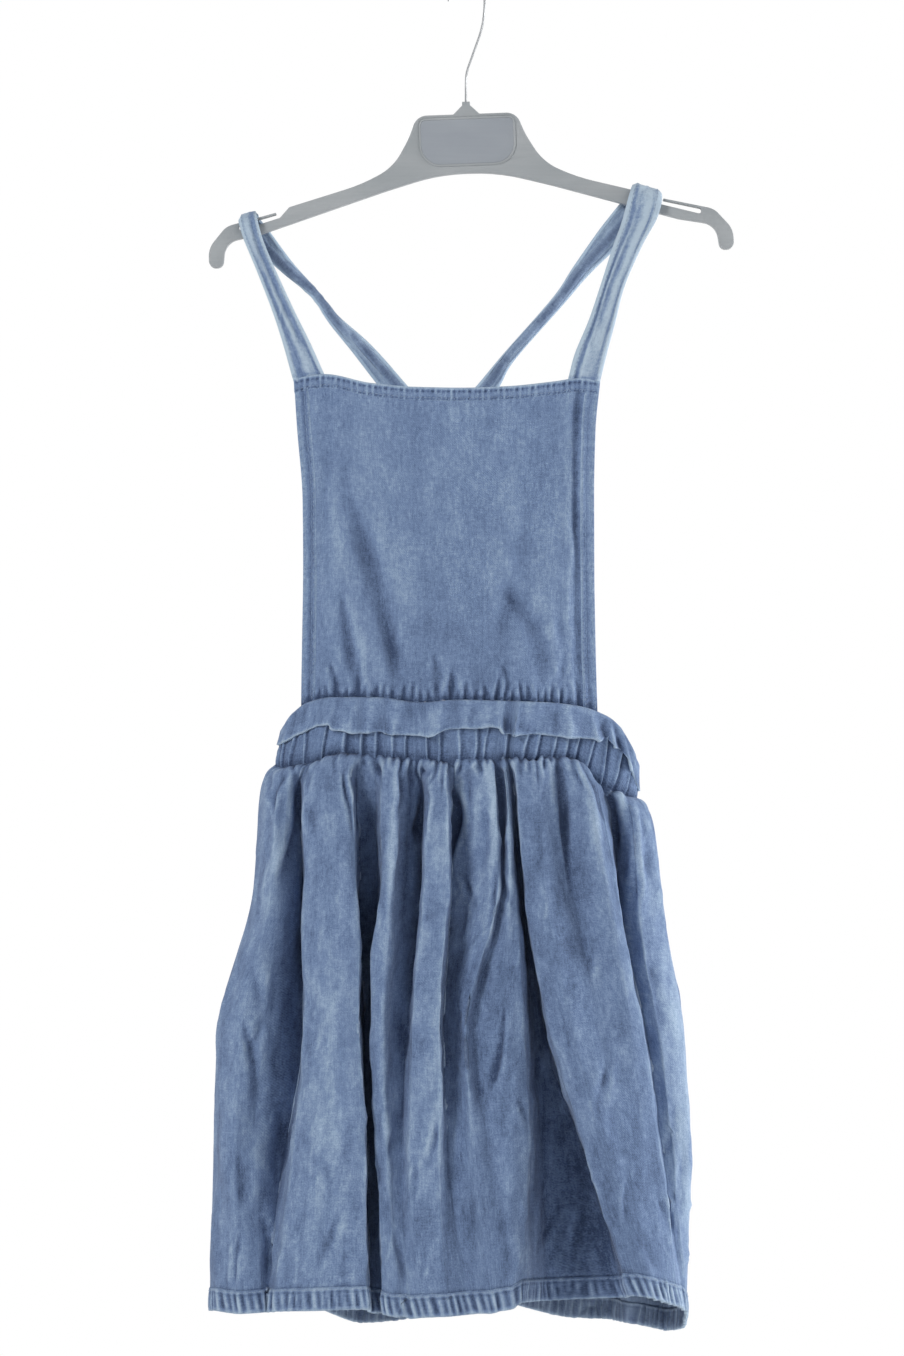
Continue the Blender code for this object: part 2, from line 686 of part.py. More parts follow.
def make_hanger():
    """Moulded body with its strap slots, the plain recessed plate and the bore for the hook."""
    half = [(c.x, c.z, c.radius) for c in HANGER_HALF]
    outline = rounded(half + [(-x, z, r) for x, z, r in reversed(half)])
    thick = HANGER_THICKNESS / 2
    body = object_from(slab(outline, thick, -thick), "hanger_body", GREY_PLASTIC, 0.45)
    edge = body.modifiers.new("edge", "BEVEL")
    edge.width, edge.segments, edge.limit_method, edge.angle_limit = HANGER_EDGE * MM, 2, "ANGLE", radians(50)

    w, top, bottom = PLATE_HALF_WIDTH, PLATE_TOP, PLATE_BOTTOM
    plate = rounded(
        [(w, top, PLATE_TOP_CORNER), (w, bottom, PLATE_CORNER), (-w, bottom, PLATE_CORNER), (-w, top, PLATE_TOP_CORNER)]
    )
    recess = object_from(slab(plate, thick + 2, thick - PLATE_RECESS), "cutter_plate", GREY_PLASTIC, guide=True)
    cut_away(body, recess)

    bm = bmesh.new()
    bmesh.ops.create_cone(
        bm, cap_ends=True, segments=24, radius1=BORE_RADIUS * MM, radius2=BORE_RADIUS * MM, depth=2 * BORE_DEPTH * MM
    )
    bmesh.ops.translate(bm, verts=bm.verts, vec=Vector((0, 0, HANGER_TOP * MM)))
    cut_away(body, object_from(bm, "cutter_bore", GREY_PLASTIC, guide=True))


def hook_path():
    """Centre of the wire in the plane of the hook, as distance aside and Z."""
    radius = HOOK_RADIUS + WIRE_RADIUS
    start, end = radians(-45), radians(160)
    foot = HANGER_TOP - BORE_DEPTH + 0.6
    bend = -HOOK_RADIUS - radius * sqrt(2)
    join = Vector((radius * cos(start), -HOOK_RADIUS + radius * sin(start)))
    path = rounded([(0.0, foot, 0.0), (0.0, bend, 12.0), (join.x, join.y, 0.0)], closed=False)
    steps = 28
    for k in range(1, steps + 1):
        a = start + (end - start) * k / steps
        path.append(Vector((radius * cos(a), -HOOK_RADIUS - WIRE_RADIUS + WIRE_RADIUS + radius * sin(a))))
    return path


def make_hook():
    """Bent wire hook that swivels in the hanger."""
    path = hook_path()
    curve = bpy.data.curves.new("hanger_hook", "CURVE")
    curve.dimensions = "3D"
    spline = curve.splines.new("POLY")
    spline.points.add(len(path) - 1)
    for point, (aside, z) in zip(spline.points, path):
        x, y = aside * cos(HOOK_SWIVEL), -aside * sin(HOOK_SWIVEL)
        point.co = (x * MM, y * MM, z * MM, 1.0)
    curve.bevel_depth = WIRE_RADIUS * MM
    curve.bevel_resolution = 3
    curve.use_fill_caps = True
    made = bpy.data.objects.new("hanger_hook", curve)
    curve.materials.append(material_for("hanger_hook_finish", STEEL, 0.3))
    collection_for("hanger_hook").objects.link(made)


def main():
    for old in list(bpy.data.objects):
        bpy.data.objects.remove(old, do_unlink=True)
    make_skirt(FRONT, "front", 60, 10, 0.0009)
    make_skirt(BACK, "back", 40, 10, 0.0014)
    make_waist(WAISTBAND_FRONT, "front", 60, 0.0013)
    make_waist(WAISTBAND_BACK, "back", 40, 0.0022)
    make_bib()
    make_strap("strap_left", STRAP_LEFT, 2, 3 * (len(STRAP_LEFT) - 1))
    make_strap("strap_right", STRAP_RIGHT, 2, 3 * (len(STRAP_RIGHT) - 1))
    make_hanger()
    make_hook()


main()
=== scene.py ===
"""Child's denim pinafore dress on a moulded top hanger, dressed for its portrait.

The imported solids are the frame; every cloth node gets a finer sheet that follows the same named sizes, with
its gathers, hems, creases, stitches and washed denim. Lengths are in millimetres, and meshes in metres.
"""

import logging
import math
from dataclasses import dataclass, field
from enum import Enum

import bmesh
import bpy
import numpy as np
from mathutils import Matrix, Vector, noise


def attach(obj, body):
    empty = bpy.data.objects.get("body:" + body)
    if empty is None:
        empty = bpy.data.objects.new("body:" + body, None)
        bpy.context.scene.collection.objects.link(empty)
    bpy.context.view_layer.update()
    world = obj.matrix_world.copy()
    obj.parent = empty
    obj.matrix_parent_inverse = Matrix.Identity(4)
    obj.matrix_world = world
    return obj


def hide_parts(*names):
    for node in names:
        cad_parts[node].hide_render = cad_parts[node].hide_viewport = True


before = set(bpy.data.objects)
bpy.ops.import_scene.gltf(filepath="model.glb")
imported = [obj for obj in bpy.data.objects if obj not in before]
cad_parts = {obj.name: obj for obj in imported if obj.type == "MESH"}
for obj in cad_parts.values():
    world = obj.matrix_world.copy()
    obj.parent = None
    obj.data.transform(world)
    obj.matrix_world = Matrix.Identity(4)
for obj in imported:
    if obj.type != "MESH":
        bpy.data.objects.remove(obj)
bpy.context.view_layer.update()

LOG = logging.getLogger("pinafore")
MM = 0.001
WEAR_AND_SHADING_LIMIT = 1.2  # the most that a point of cloth can be washed or painted lighter, or made darker, mostly by painted shade, below 0

Array = np.ndarray
Piece = bpy.types.Object
Finish = bpy.types.Material
Socket = bpy.types.NodeSocket
Colour = tuple[int, int, int]
Pair = tuple[float, float]
Triple = tuple[float, float, float]
Sizes = dict[Piece, Pair]  # flat width and length of each sheet
Made = tuple[list[Piece], Sizes]


class Side(Enum):
    """Which half of the garment a panel belongs to."""

    FRONT = -1
    BACK = 1


class Held(Enum):
    """How a sheet of cloth is held."""

    GATHERED = "gathered"
    HUNG = "hung"


# ---- sizes


@dataclass(frozen=True)
class Fold:
    """One ridge or valley line of a skirt panel, from the waist seam to the hem.

    across and out are X and the distance from the hanger's plane at five levels. crisp is how sharply it is
    pressed, from 0 to 1, and a slow one deepens more slowly below the waist seam.
    """

    name: str
    seam_z: float
    hem_z: float
    across: tuple[float, ...]
    out: tuple[float, ...]
    crisp: float = 0.12
    slow: float = 1.0


LEVELS = (0.0, 0.22, 0.5, 0.75, 1.0)

SIDE_LEFT = Fold("side_left", -489, -824, (-126, -130, -152.5, -155, -157), (0, 0, 0, 0, 0))
SIDE_RIGHT = Fold("side_right", -509, -830, (114, 121.5, 135, 137, 135), (0, 0, 0, 0, 0))

SKIRT_FRONT = (
    SIDE_LEFT,
    Fold("left_turn", -490, -821, (-123, -126, -148.5, -151, -152.5), (14, 16, 18, 20, 20)),
    Fold("left_panel", -489, -821, (-115, -119, -137, -140, -139), (24, 28, 30, 33, 34), 0.3),
    Fold("first_valley_near", -488, -820, (-108, -112, -123, -128, -124), (29, 25, 25, 28, 34), 0.65),
    Fold("first_valley", -488, -820, (-103, -99.5, -99.5, -112, -121), (31, 7, 0, 13, 32), 0.7, 0.5),
    Fold("broad_ridge_left", -486, -819, (-98, -98.5, -98.5, -105.5, -117), (32, 32, 35, 38, 37), 0.8),
    Fold("broad_ridge", -481, -816, (-85, -83, -82, -85, -89), (35, 42, 48, 52, 52)),
    Fold("broad_ridge_right", -482, -816, (-71, -66.5, -64, -61, -60), (35, 38, 43, 46, 46), 0.85),
    Fold("second_valley", -482, -821, (-67, -66, -64, -61, -59), (35, 8, 2, 8, 28), 0.6, 0.15),
    Fold("second_valley_far", -483, -820, (-56, -53, -57, -53, -49), (36, 12, 4, 14, 35), 0.6, 0.15),
    Fold("narrow_ridge_left", -483, -820, (-51, -53, -57.5, -53, -48.5), (36, 38, 38, 38, 41), 0.85),
    Fold("narrow_ridge", -484, -821, (-42, -45, -50, -47, -42), (37, 43, 43, 42, 44)),
    Fold("third_valley_near", -485, -821, (-32, -36, -44, -44, -37), (37, 22, 30, 40, 44), 0.3),
    Fold("third_valley", -485, -822, (-27, -27, -36, -39, -33), (37, 14, 26, 38, 45), 0.6, 0.6),
    Fold("centre_ridge_left", -485, -821, (-22, -25.5, -33, -34, -26), (38, 39, 44, 46, 47), 0.5),
    Fold("centre_ridge_right", -486, -820, (-11, -11.5, -16.5, -16, -10), (38, 42, 48, 51, 50), 0.9),
    Fold("fourth_valley", -486, -819, (-7, -9, -14, -10, 2), (38, 18, 25, 42, 48), 0.7),
    Fold("middle_panel", -485, -818, (5, 6, -5, 1, 9), (39, 29, 32, 45, 50)),
    Fold("middle_panel_edge", -485, -818, (17.5, 19.2, 0, 6, 15), (38, 38, 42, 48, 50), 0.2),
    Fold("fifth_valley", -485, -817, (20.5, 22.0, 6, 15, 20), (38, 32, 35, 46, 48), 0.2),
    Fold("recess_ridge", -484, -816, (23.5, 26.5, 22, 27, 26), (38, 37, 42, 49, 46), 0.3),
    Fold("recess_edge", -484, -813, (26, 29.6, 35, 38, 33), (38, 33, 40, 42, 40), 0.65),
    Fold("recess_floor_left", -484, -819, (27.2, 32.0, 41, 46, 50), (37, 22, 9, -2, -6), 0.3, 0.6),
    Fold("recess_floor_right", -484, -817, (28.4, 34.0, 49, 74, 98), (37, 20, 7, -3, -6), 0.4, 0.6),
    Fold("big_panel_edge", -484, -807, (30, 34.9, 50, 74, 98), (37, 36, 42, 48, 52), 0.9),
    Fold("big_panel", -484, -807, (44, 47, 63, 84, 106), (37, 43, 52, 56, 55)),
    Fold("big_panel_trough", -483, -809, (57, 63, 80, 95, 113), (34, 32, 45, 53, 53), 0.4),
    Fold("right_ridge", -484, -812, (73, 83, 99, 109, 121), (31, 42, 46, 47, 47), 0.3),
    Fold("right_ridge_edge", -493, -816, (80, 90.5, 108, 118.5, 129), (28, 36, 40, 41, 38), 0.85),
    Fold("side_valley", -502, -819, (90, 93, 110.5, 121, 131.5), (23, 11, 19, 21, 24), 0.6),
    Fold("side_ridge", -505, -822, (101, 104.5, 119, 128, 133.5), (18, 25, 22, 21, 18), 0.6),
    Fold("right_turn", -508, -827, (111, 118, 132, 136, 135), (10, 12, 10, 10, 8)),
    SIDE_RIGHT,
)


@dataclass(frozen=True)
class Dent:
    """A pinch in the strip folded down over the waist, leaning as it nears the free edge."""

    name: str
    across: float
    width: float
    depth: float
    lean: float = 0.0


DENTS_FRONT = (
    Dent("left_end", -101, 4.0, 0.8, -2),
    Dent("left_soft", -78, 4.5, 1.5, 2),
    Dent("left_middle", -50, 4.0, 1.7, -3),
    Dent("left_light", -30, 5.0, 0.8, 3),
    Dent("step", 24.5, 2.6, 2.0, 0.5),
    Dent("right_middle", 52, 5.0, 1.1, 2),
    Dent("right_fold", 82, 2.8, 2.6, 4),
    Dent("end_first", 91, 2.2, 2.2, 4),
    Dent("end_last", 98.5, 1.8, 2.0, 2),
)

DENTS_BACK = (
    Dent("left_soft", -84, 4.0, 1.6, 3),
    Dent("left_middle", -42, 4.5, 1.5, -2),
    Dent("middle", 6, 4.0, 1.2, 2),
    Dent("right_middle", 38, 4.5, 1.6, -3),
    Dent("right_soft", 76, 3.0, 2.0, 3),
)


@dataclass(frozen=True)
class TonePatch:
    """A patch of the skirt painted lighter, or darker below 0: its middle, its reach and how much. The
    front's patches are painted light and shade.
    """

    name: str
    across: float
    z: float
    wide: float
    tall: float
    wear_and_shading: float


# painted light and shade on the front of the skirt
PAINTED_SHADING_FRONT = (
    TonePatch("right_strip", 131, -640, 13, 110, 0.75),
    TonePatch("middle_dark", 20, -661, 13, 60, -0.55),
    TonePatch("middle_hollow", -6.5, -620, 7, 45, -0.45),
    TonePatch("right_strip_low", 134, -770, 9, 60, 0.3),
    TonePatch("big_panel_low", 92, -755, 22, 55, -0.45),
    TonePatch("big_panel_high", 54, -570, 20, 70, -0.4),
    TonePatch("ridge_low", -82, -700, 18, 80, 0.3),
    TonePatch("middle_high", -2, -545, 14, 45, 0.3),
    TonePatch("left_hip", -118, -540, 14, 40, 0.2),
    TonePatch("middle_foot", 0, -770, 22, 40, -0.3),
    TonePatch("centre_light", -22, -700, 10, 60, 0.25),
)

TONE_PATCHES_BACK = (
    TonePatch("seat", -6, -640, 24, 90, 0.3),
    TonePatch("right_panel_low", 62, -770, 20, 60, -0.3),
    TonePatch("left_ridge", -110, -660, 16, 90, 0.3),
)

SKIRT_BACK = (
    SIDE_RIGHT,
    Fold("right_turn", -511, -838, (110, 118, 131, 134, 133), (12, 14, 16, 16, 16)),
    Fold("right_ridge", -516, -843, (96, 104, 114, 121, 124), (21, 31, 36, 40, 42), 0.3),
    Fold("right_valley", -518, -836, (79, 85, 92, 99, 103), (28, 18, 16, 20, 24)),
    Fold("right_panel_edge", -518, -837, (70, 77, 83, 88, 92), (31, 36, 42, 44, 46), 0.7),
    Fold("right_panel", -519, -836, (52, 58, 61, 60, 58), (34, 42, 50, 53, 54)),
    Fold("seat_valley", -520, -821, (36, 37, 33, 27, 22), (36, 22, 14, 12, 14), 0.5),
    Fold("seat_ridge", -520, -831, (24, 23, 17, 12, 9), (37, 40, 41, 40, 38), 0.6),
    Fold("seat_panel", -520, -831, (4, 0, -8, -12, -14), (37, 43, 51, 54, 54)),
    Fold("middle_valley", -520, -835, (-18, -24, -34, -40, -42), (37, 26, 24, 28, 32), 0.4),
    Fold("left_panel", -519, -839, (-38, -46, -58, -66, -68), (35, 40, 44, 46, 46), 0.3),
    Fold("left_valley", -516, -824, (-62, -71, -83, -90, -93), (31, 20, 14, 12, 14), 0.5),
    Fold("left_ridge_inner", -514, -827, (-74, -81, -95, -103, -106), (29, 35, 38, 38, 38), 0.6),
    Fold("left_ridge", -509, -826, (-92, -102, -117, -124, -127), (23, 30, 34, 36, 36)),
    Fold("left_turn", -497, -825, (-121, -125, -146, -149, -151), (13, 16, 18, 20, 20)),
    SIDE_LEFT,
)


@dataclass(frozen=True)
class WaistRow:
    """Heights of the fold-down strip's fold and free edge at one X."""

    name: str
    across: float
    top_z: float
    free_edge_z: float


WAIST_LEFT = WaistRow("side_left", -111.5, -468, -476)
WAIST_RIGHT = WaistRow("side_right", 104.5, -488, -502)

WAIST_FRONT = (
    WAIST_LEFT,
    WaistRow("turn_left", -105, -458, -473),
    WaistRow("left", -95, -451, -468.5),
    WaistRow("left_lift", -80, -448, -462.5),
    WaistRow("left_step", -76, -448, -465.8),
    WaistRow("left_middle", -54, -448, -467),
    WaistRow("middle_left", -28, -451, -468.4),
    WaistRow("middle", -5, -449.5, -465),
    WaistRow("middle_right", 22, -450, -463.8),
    WaistRow("middle_step", 26, -450.2, -467.8),
    WaistRow("right_middle", 48, -451, -468.2),
    WaistRow("right", 69, -453.5, -469.5),
    WaistRow("right_shoulder", 87, -460.5, -473.5),
    WaistRow("turn_right", 96.5, -470.5, -482),
    WAIST_RIGHT,
)

WAIST_BACK = (
    WAIST_LEFT,
    WaistRow("left", -97, -474, -490),
    WaistRow("middle_left", -60, -478, -496),
    WaistRow("middle", -5, -481, -499),
    WaistRow("middle_right", 50, -484, -502),
    WaistRow("right", 87, -488, -505),
    WAIST_RIGHT,
)


@dataclass(frozen=True)
class StrapRow:
    """A strap at one place: its left and right edges as X, Z and distance out."""

    name: str
    left: Triple
    right: Triple


STRAP_LEFT = (
    StrapRow("at_bib", (-106.1, -252.6, 11), (-87, -249.8, 11)),
    StrapRow("low", (-112.2, -230.8, 11), (-95.5, -230.8, 11)),
    StrapRow("middle", (-119, -210.3, 10), (-105.6, -210.3, 10)),
    StrapRow("high", (-129, -184.8, 9), (-117.3, -184.8, 9)),
    StrapRow("arm_front", (-136.1, -167.6, 8), (-124.5, -167, 8)),
    StrapRow("shoulder_front", (-139, -156.6, 8), (-127.7, -153.6, 8)),
    StrapRow("shoulder_top", (-138.4, -152.6, 0), (-127.5, -149.6, 0)),
    StrapRow("shoulder_back", (-137.3, -156.6, -8), (-126.2, -153.6, -8)),
    StrapRow("arm_back", (-132.1, -168.9, -8), (-119.8, -162.8, -8)),
    StrapRow("back_high", (-113.7, -186.6, -9), (-106.4, -181, -9)),
    StrapRow("twist", (-95.1, -202.8, -8), (-90.6, -199.2, -13)),
    StrapRow("below_twist", (-84.8, -218, -9), (-79, -213.3, -13)),
    StrapRow("back_low", (-70.1, -235.6, -12), (-59.6, -230.1, -12)),
    StrapRow("bib_level", (-51.4, -259.8, -13), (-40.8, -250.8, -13)),
    StrapRow("crossing", (-20.8, -297.7, -14), (-9.7, -289.1, -14)),
    StrapRow("under_cross", (-1.1, -341.4, -16), (12.5, -336.5, -16)),
    StrapRow("back_middle", (26.2, -415.4, -22), (40.4, -411.1, -22)),
    StrapRow("waist", (50, -482.6, -30.5), (66, -484, -28.5)),
)

STRAP_RIGHT = (
    StrapRow("at_bib", (62.6, -253, 11), (82.3, -254, 11)),
    StrapRow("low", (66.6, -238, 11), (86.5, -236.9, 11)),
    StrapRow("middle", (75, -217.9, 10), (91.3, -219.1, 10)),
    StrapRow("high", (82.4, -195.9, 9.5), (97.1, -196.9, 9.5)),
    StrapRow("upper", (89.8, -172.6, 9), (107.6, -172.6, 9)),
    StrapRow("arm_front", (94.8, -157.9, 8), (116.2, -156, 8)),
    StrapRow("shoulder_front", (99.7, -138.6, 8.2), (119.6, -143.8, 8.2)),
    StrapRow("shoulder_top", (102.3, -132.6, 0), (120, -137.6, 0)),
    StrapRow("shoulder_back", (99.7, -138.2, -8.2), (118.3, -143.5, -8.2)),
    StrapRow("arm_back", (88.7, -152.3, -8), (104.7, -162.1, -8)),
    StrapRow("back_high", (81, -162.2, -9), (93.1, -171.9, -9)),
    StrapRow("twist", (66.2, -183.3, -10), (75.3, -189, -10)),
    StrapRow("below_twist", (53.5, -202.3, -11), (59.9, -206.8, -11)),
    StrapRow("back_low", (23.8, -236, -13), (29.8, -241.1, -13)),
    StrapRow("bib_level", (8.2, -254.5, -15), (18.7, -260, -15)),
    StrapRow("crossing", (-20.8, -288.9, -18.5), (-9.7, -297.5, -18.5)),
    StrapRow("under_cross", (-40, -336.4, -18), (-26.4, -341.3, -18)),
    StrapRow("back_middle", (-64.2, -411.1, -23), (-49.9, -415.4, -23)),
    StrapRow("waist", (-78, -475.4, -28.3), (-61, -477, -30.7)),
)


@dataclass(frozen=True)
class Share:
    """A value of an edge line at a share of its length."""

    name: str
    share: float
    value: float


BIB_LEFT = (
    Share("top", 0.0, -105),
    Share("upper", 0.15, -103),
    Share("chest", 0.37, -99.5),
    Share("middle", 0.58, -99),
    Share("lower", 0.79, -99.5),
    Share("waist", 1.0, -100),
)

BIB_RIGHT = (
    Share("top", 0.0, 82),
    Share("upper", 0.15, 79),
    Share("chest", 0.37, 78),
    Share("middle", 0.58, 78),
    Share("lower", 0.79, 78.5),
    Share("waist", 1.0, 79.5),
)

BIB_TOP = (
    Share("left_corner", 0.0, -253.5),
    Share("left_strap", 0.1, -251),
    Share("left_sag", 0.25, -256.5),
    Share("left_middle", 0.4, -259),
    Share("middle", 0.55, -259.5),
    Share("right_middle", 0.7, -258.5),
    Share("right_sag", 0.85, -255.5),
    Share("right_strap", 0.93, -253.5),
    Share("right_corner", 1.0, -255),
)


@dataclass(frozen=True)
class Crease:
    """A soft uneven trough pressed into a panel, through points in X and Z.

    depth is negative for a ridge; lip is how far the cloth stands up beside it.
    A sewn one starts at full depth in a seam at its first point.
    """

    name: str
    points: tuple[Pair, ...]
    width: float
    depth: float
    lip: float = 0.0
    sewn: bool = False


BIB_CREASES = (
    Crease(
        "long_left", ((-68.6, -335), (-60.3, -360), (-52.3, -388), (-45.6, -417), (-42, -443)), 13, 4.6, 0.6
    ),
    Crease("long_left_top", ((-81, -290), (-76, -315), (-69, -337), (-61, -360)), 14, 1.3, 0.2),
    Crease("short_left", ((-76, -386), (-73.5, -404), (-71, -420), (-67.5, -440)), 6.5, 2.4, 0.6),
    Crease("long_right", ((42, -296), (35, -366), (44, -424)), 11, 1.0, 0.4),
    Crease("right_slant", ((30, -378), (24, -398), (14, -420)), 12, 1.2, 0.3),
    Crease(
        "right_hook",
        ((21, -370), (25.3, -384), (33, -397), (41, -408), (45, -422), (45.5, -440)),
        11, 1.9, 0.4,
    ),
    Crease("right_pull", ((56, -398), (60, -418), (58, -438)), 6, 1.3, 0.5),
    Crease(
        "side_fold_right", ((70.5, -250), (69, -272), (67.5, -300), (67.5, -335), (69, -372)), 5.5, 3.4, 1.6
    ),
    Crease("side_fold_low", ((68.5, -350), (68, -385), (69, -420), (70, -446)), 6, 1.7, 0.6),
    Crease("side_ridge_left", ((-92, -258), (-92.5, -300), (-92, -350), (-91.5, -395)), 5, -1.6, 0.2),
    Crease("pull_left", ((-84, -275), (-86, -330), (-85, -380)), 7, 0.9, 0.3),
    Crease("waist_left", ((-84, -425), (-80, -438), (-78, -448)), 3.5, 1.3, 0.5),
    Crease("waist_middle", ((-20, -420), (-17, -435), (-19, -448)), 4, 1.0, 0.4),
    Crease("waist_right", ((22, -428), (25, -440), (24, -449)), 3.5, 1.2, 0.5),
)

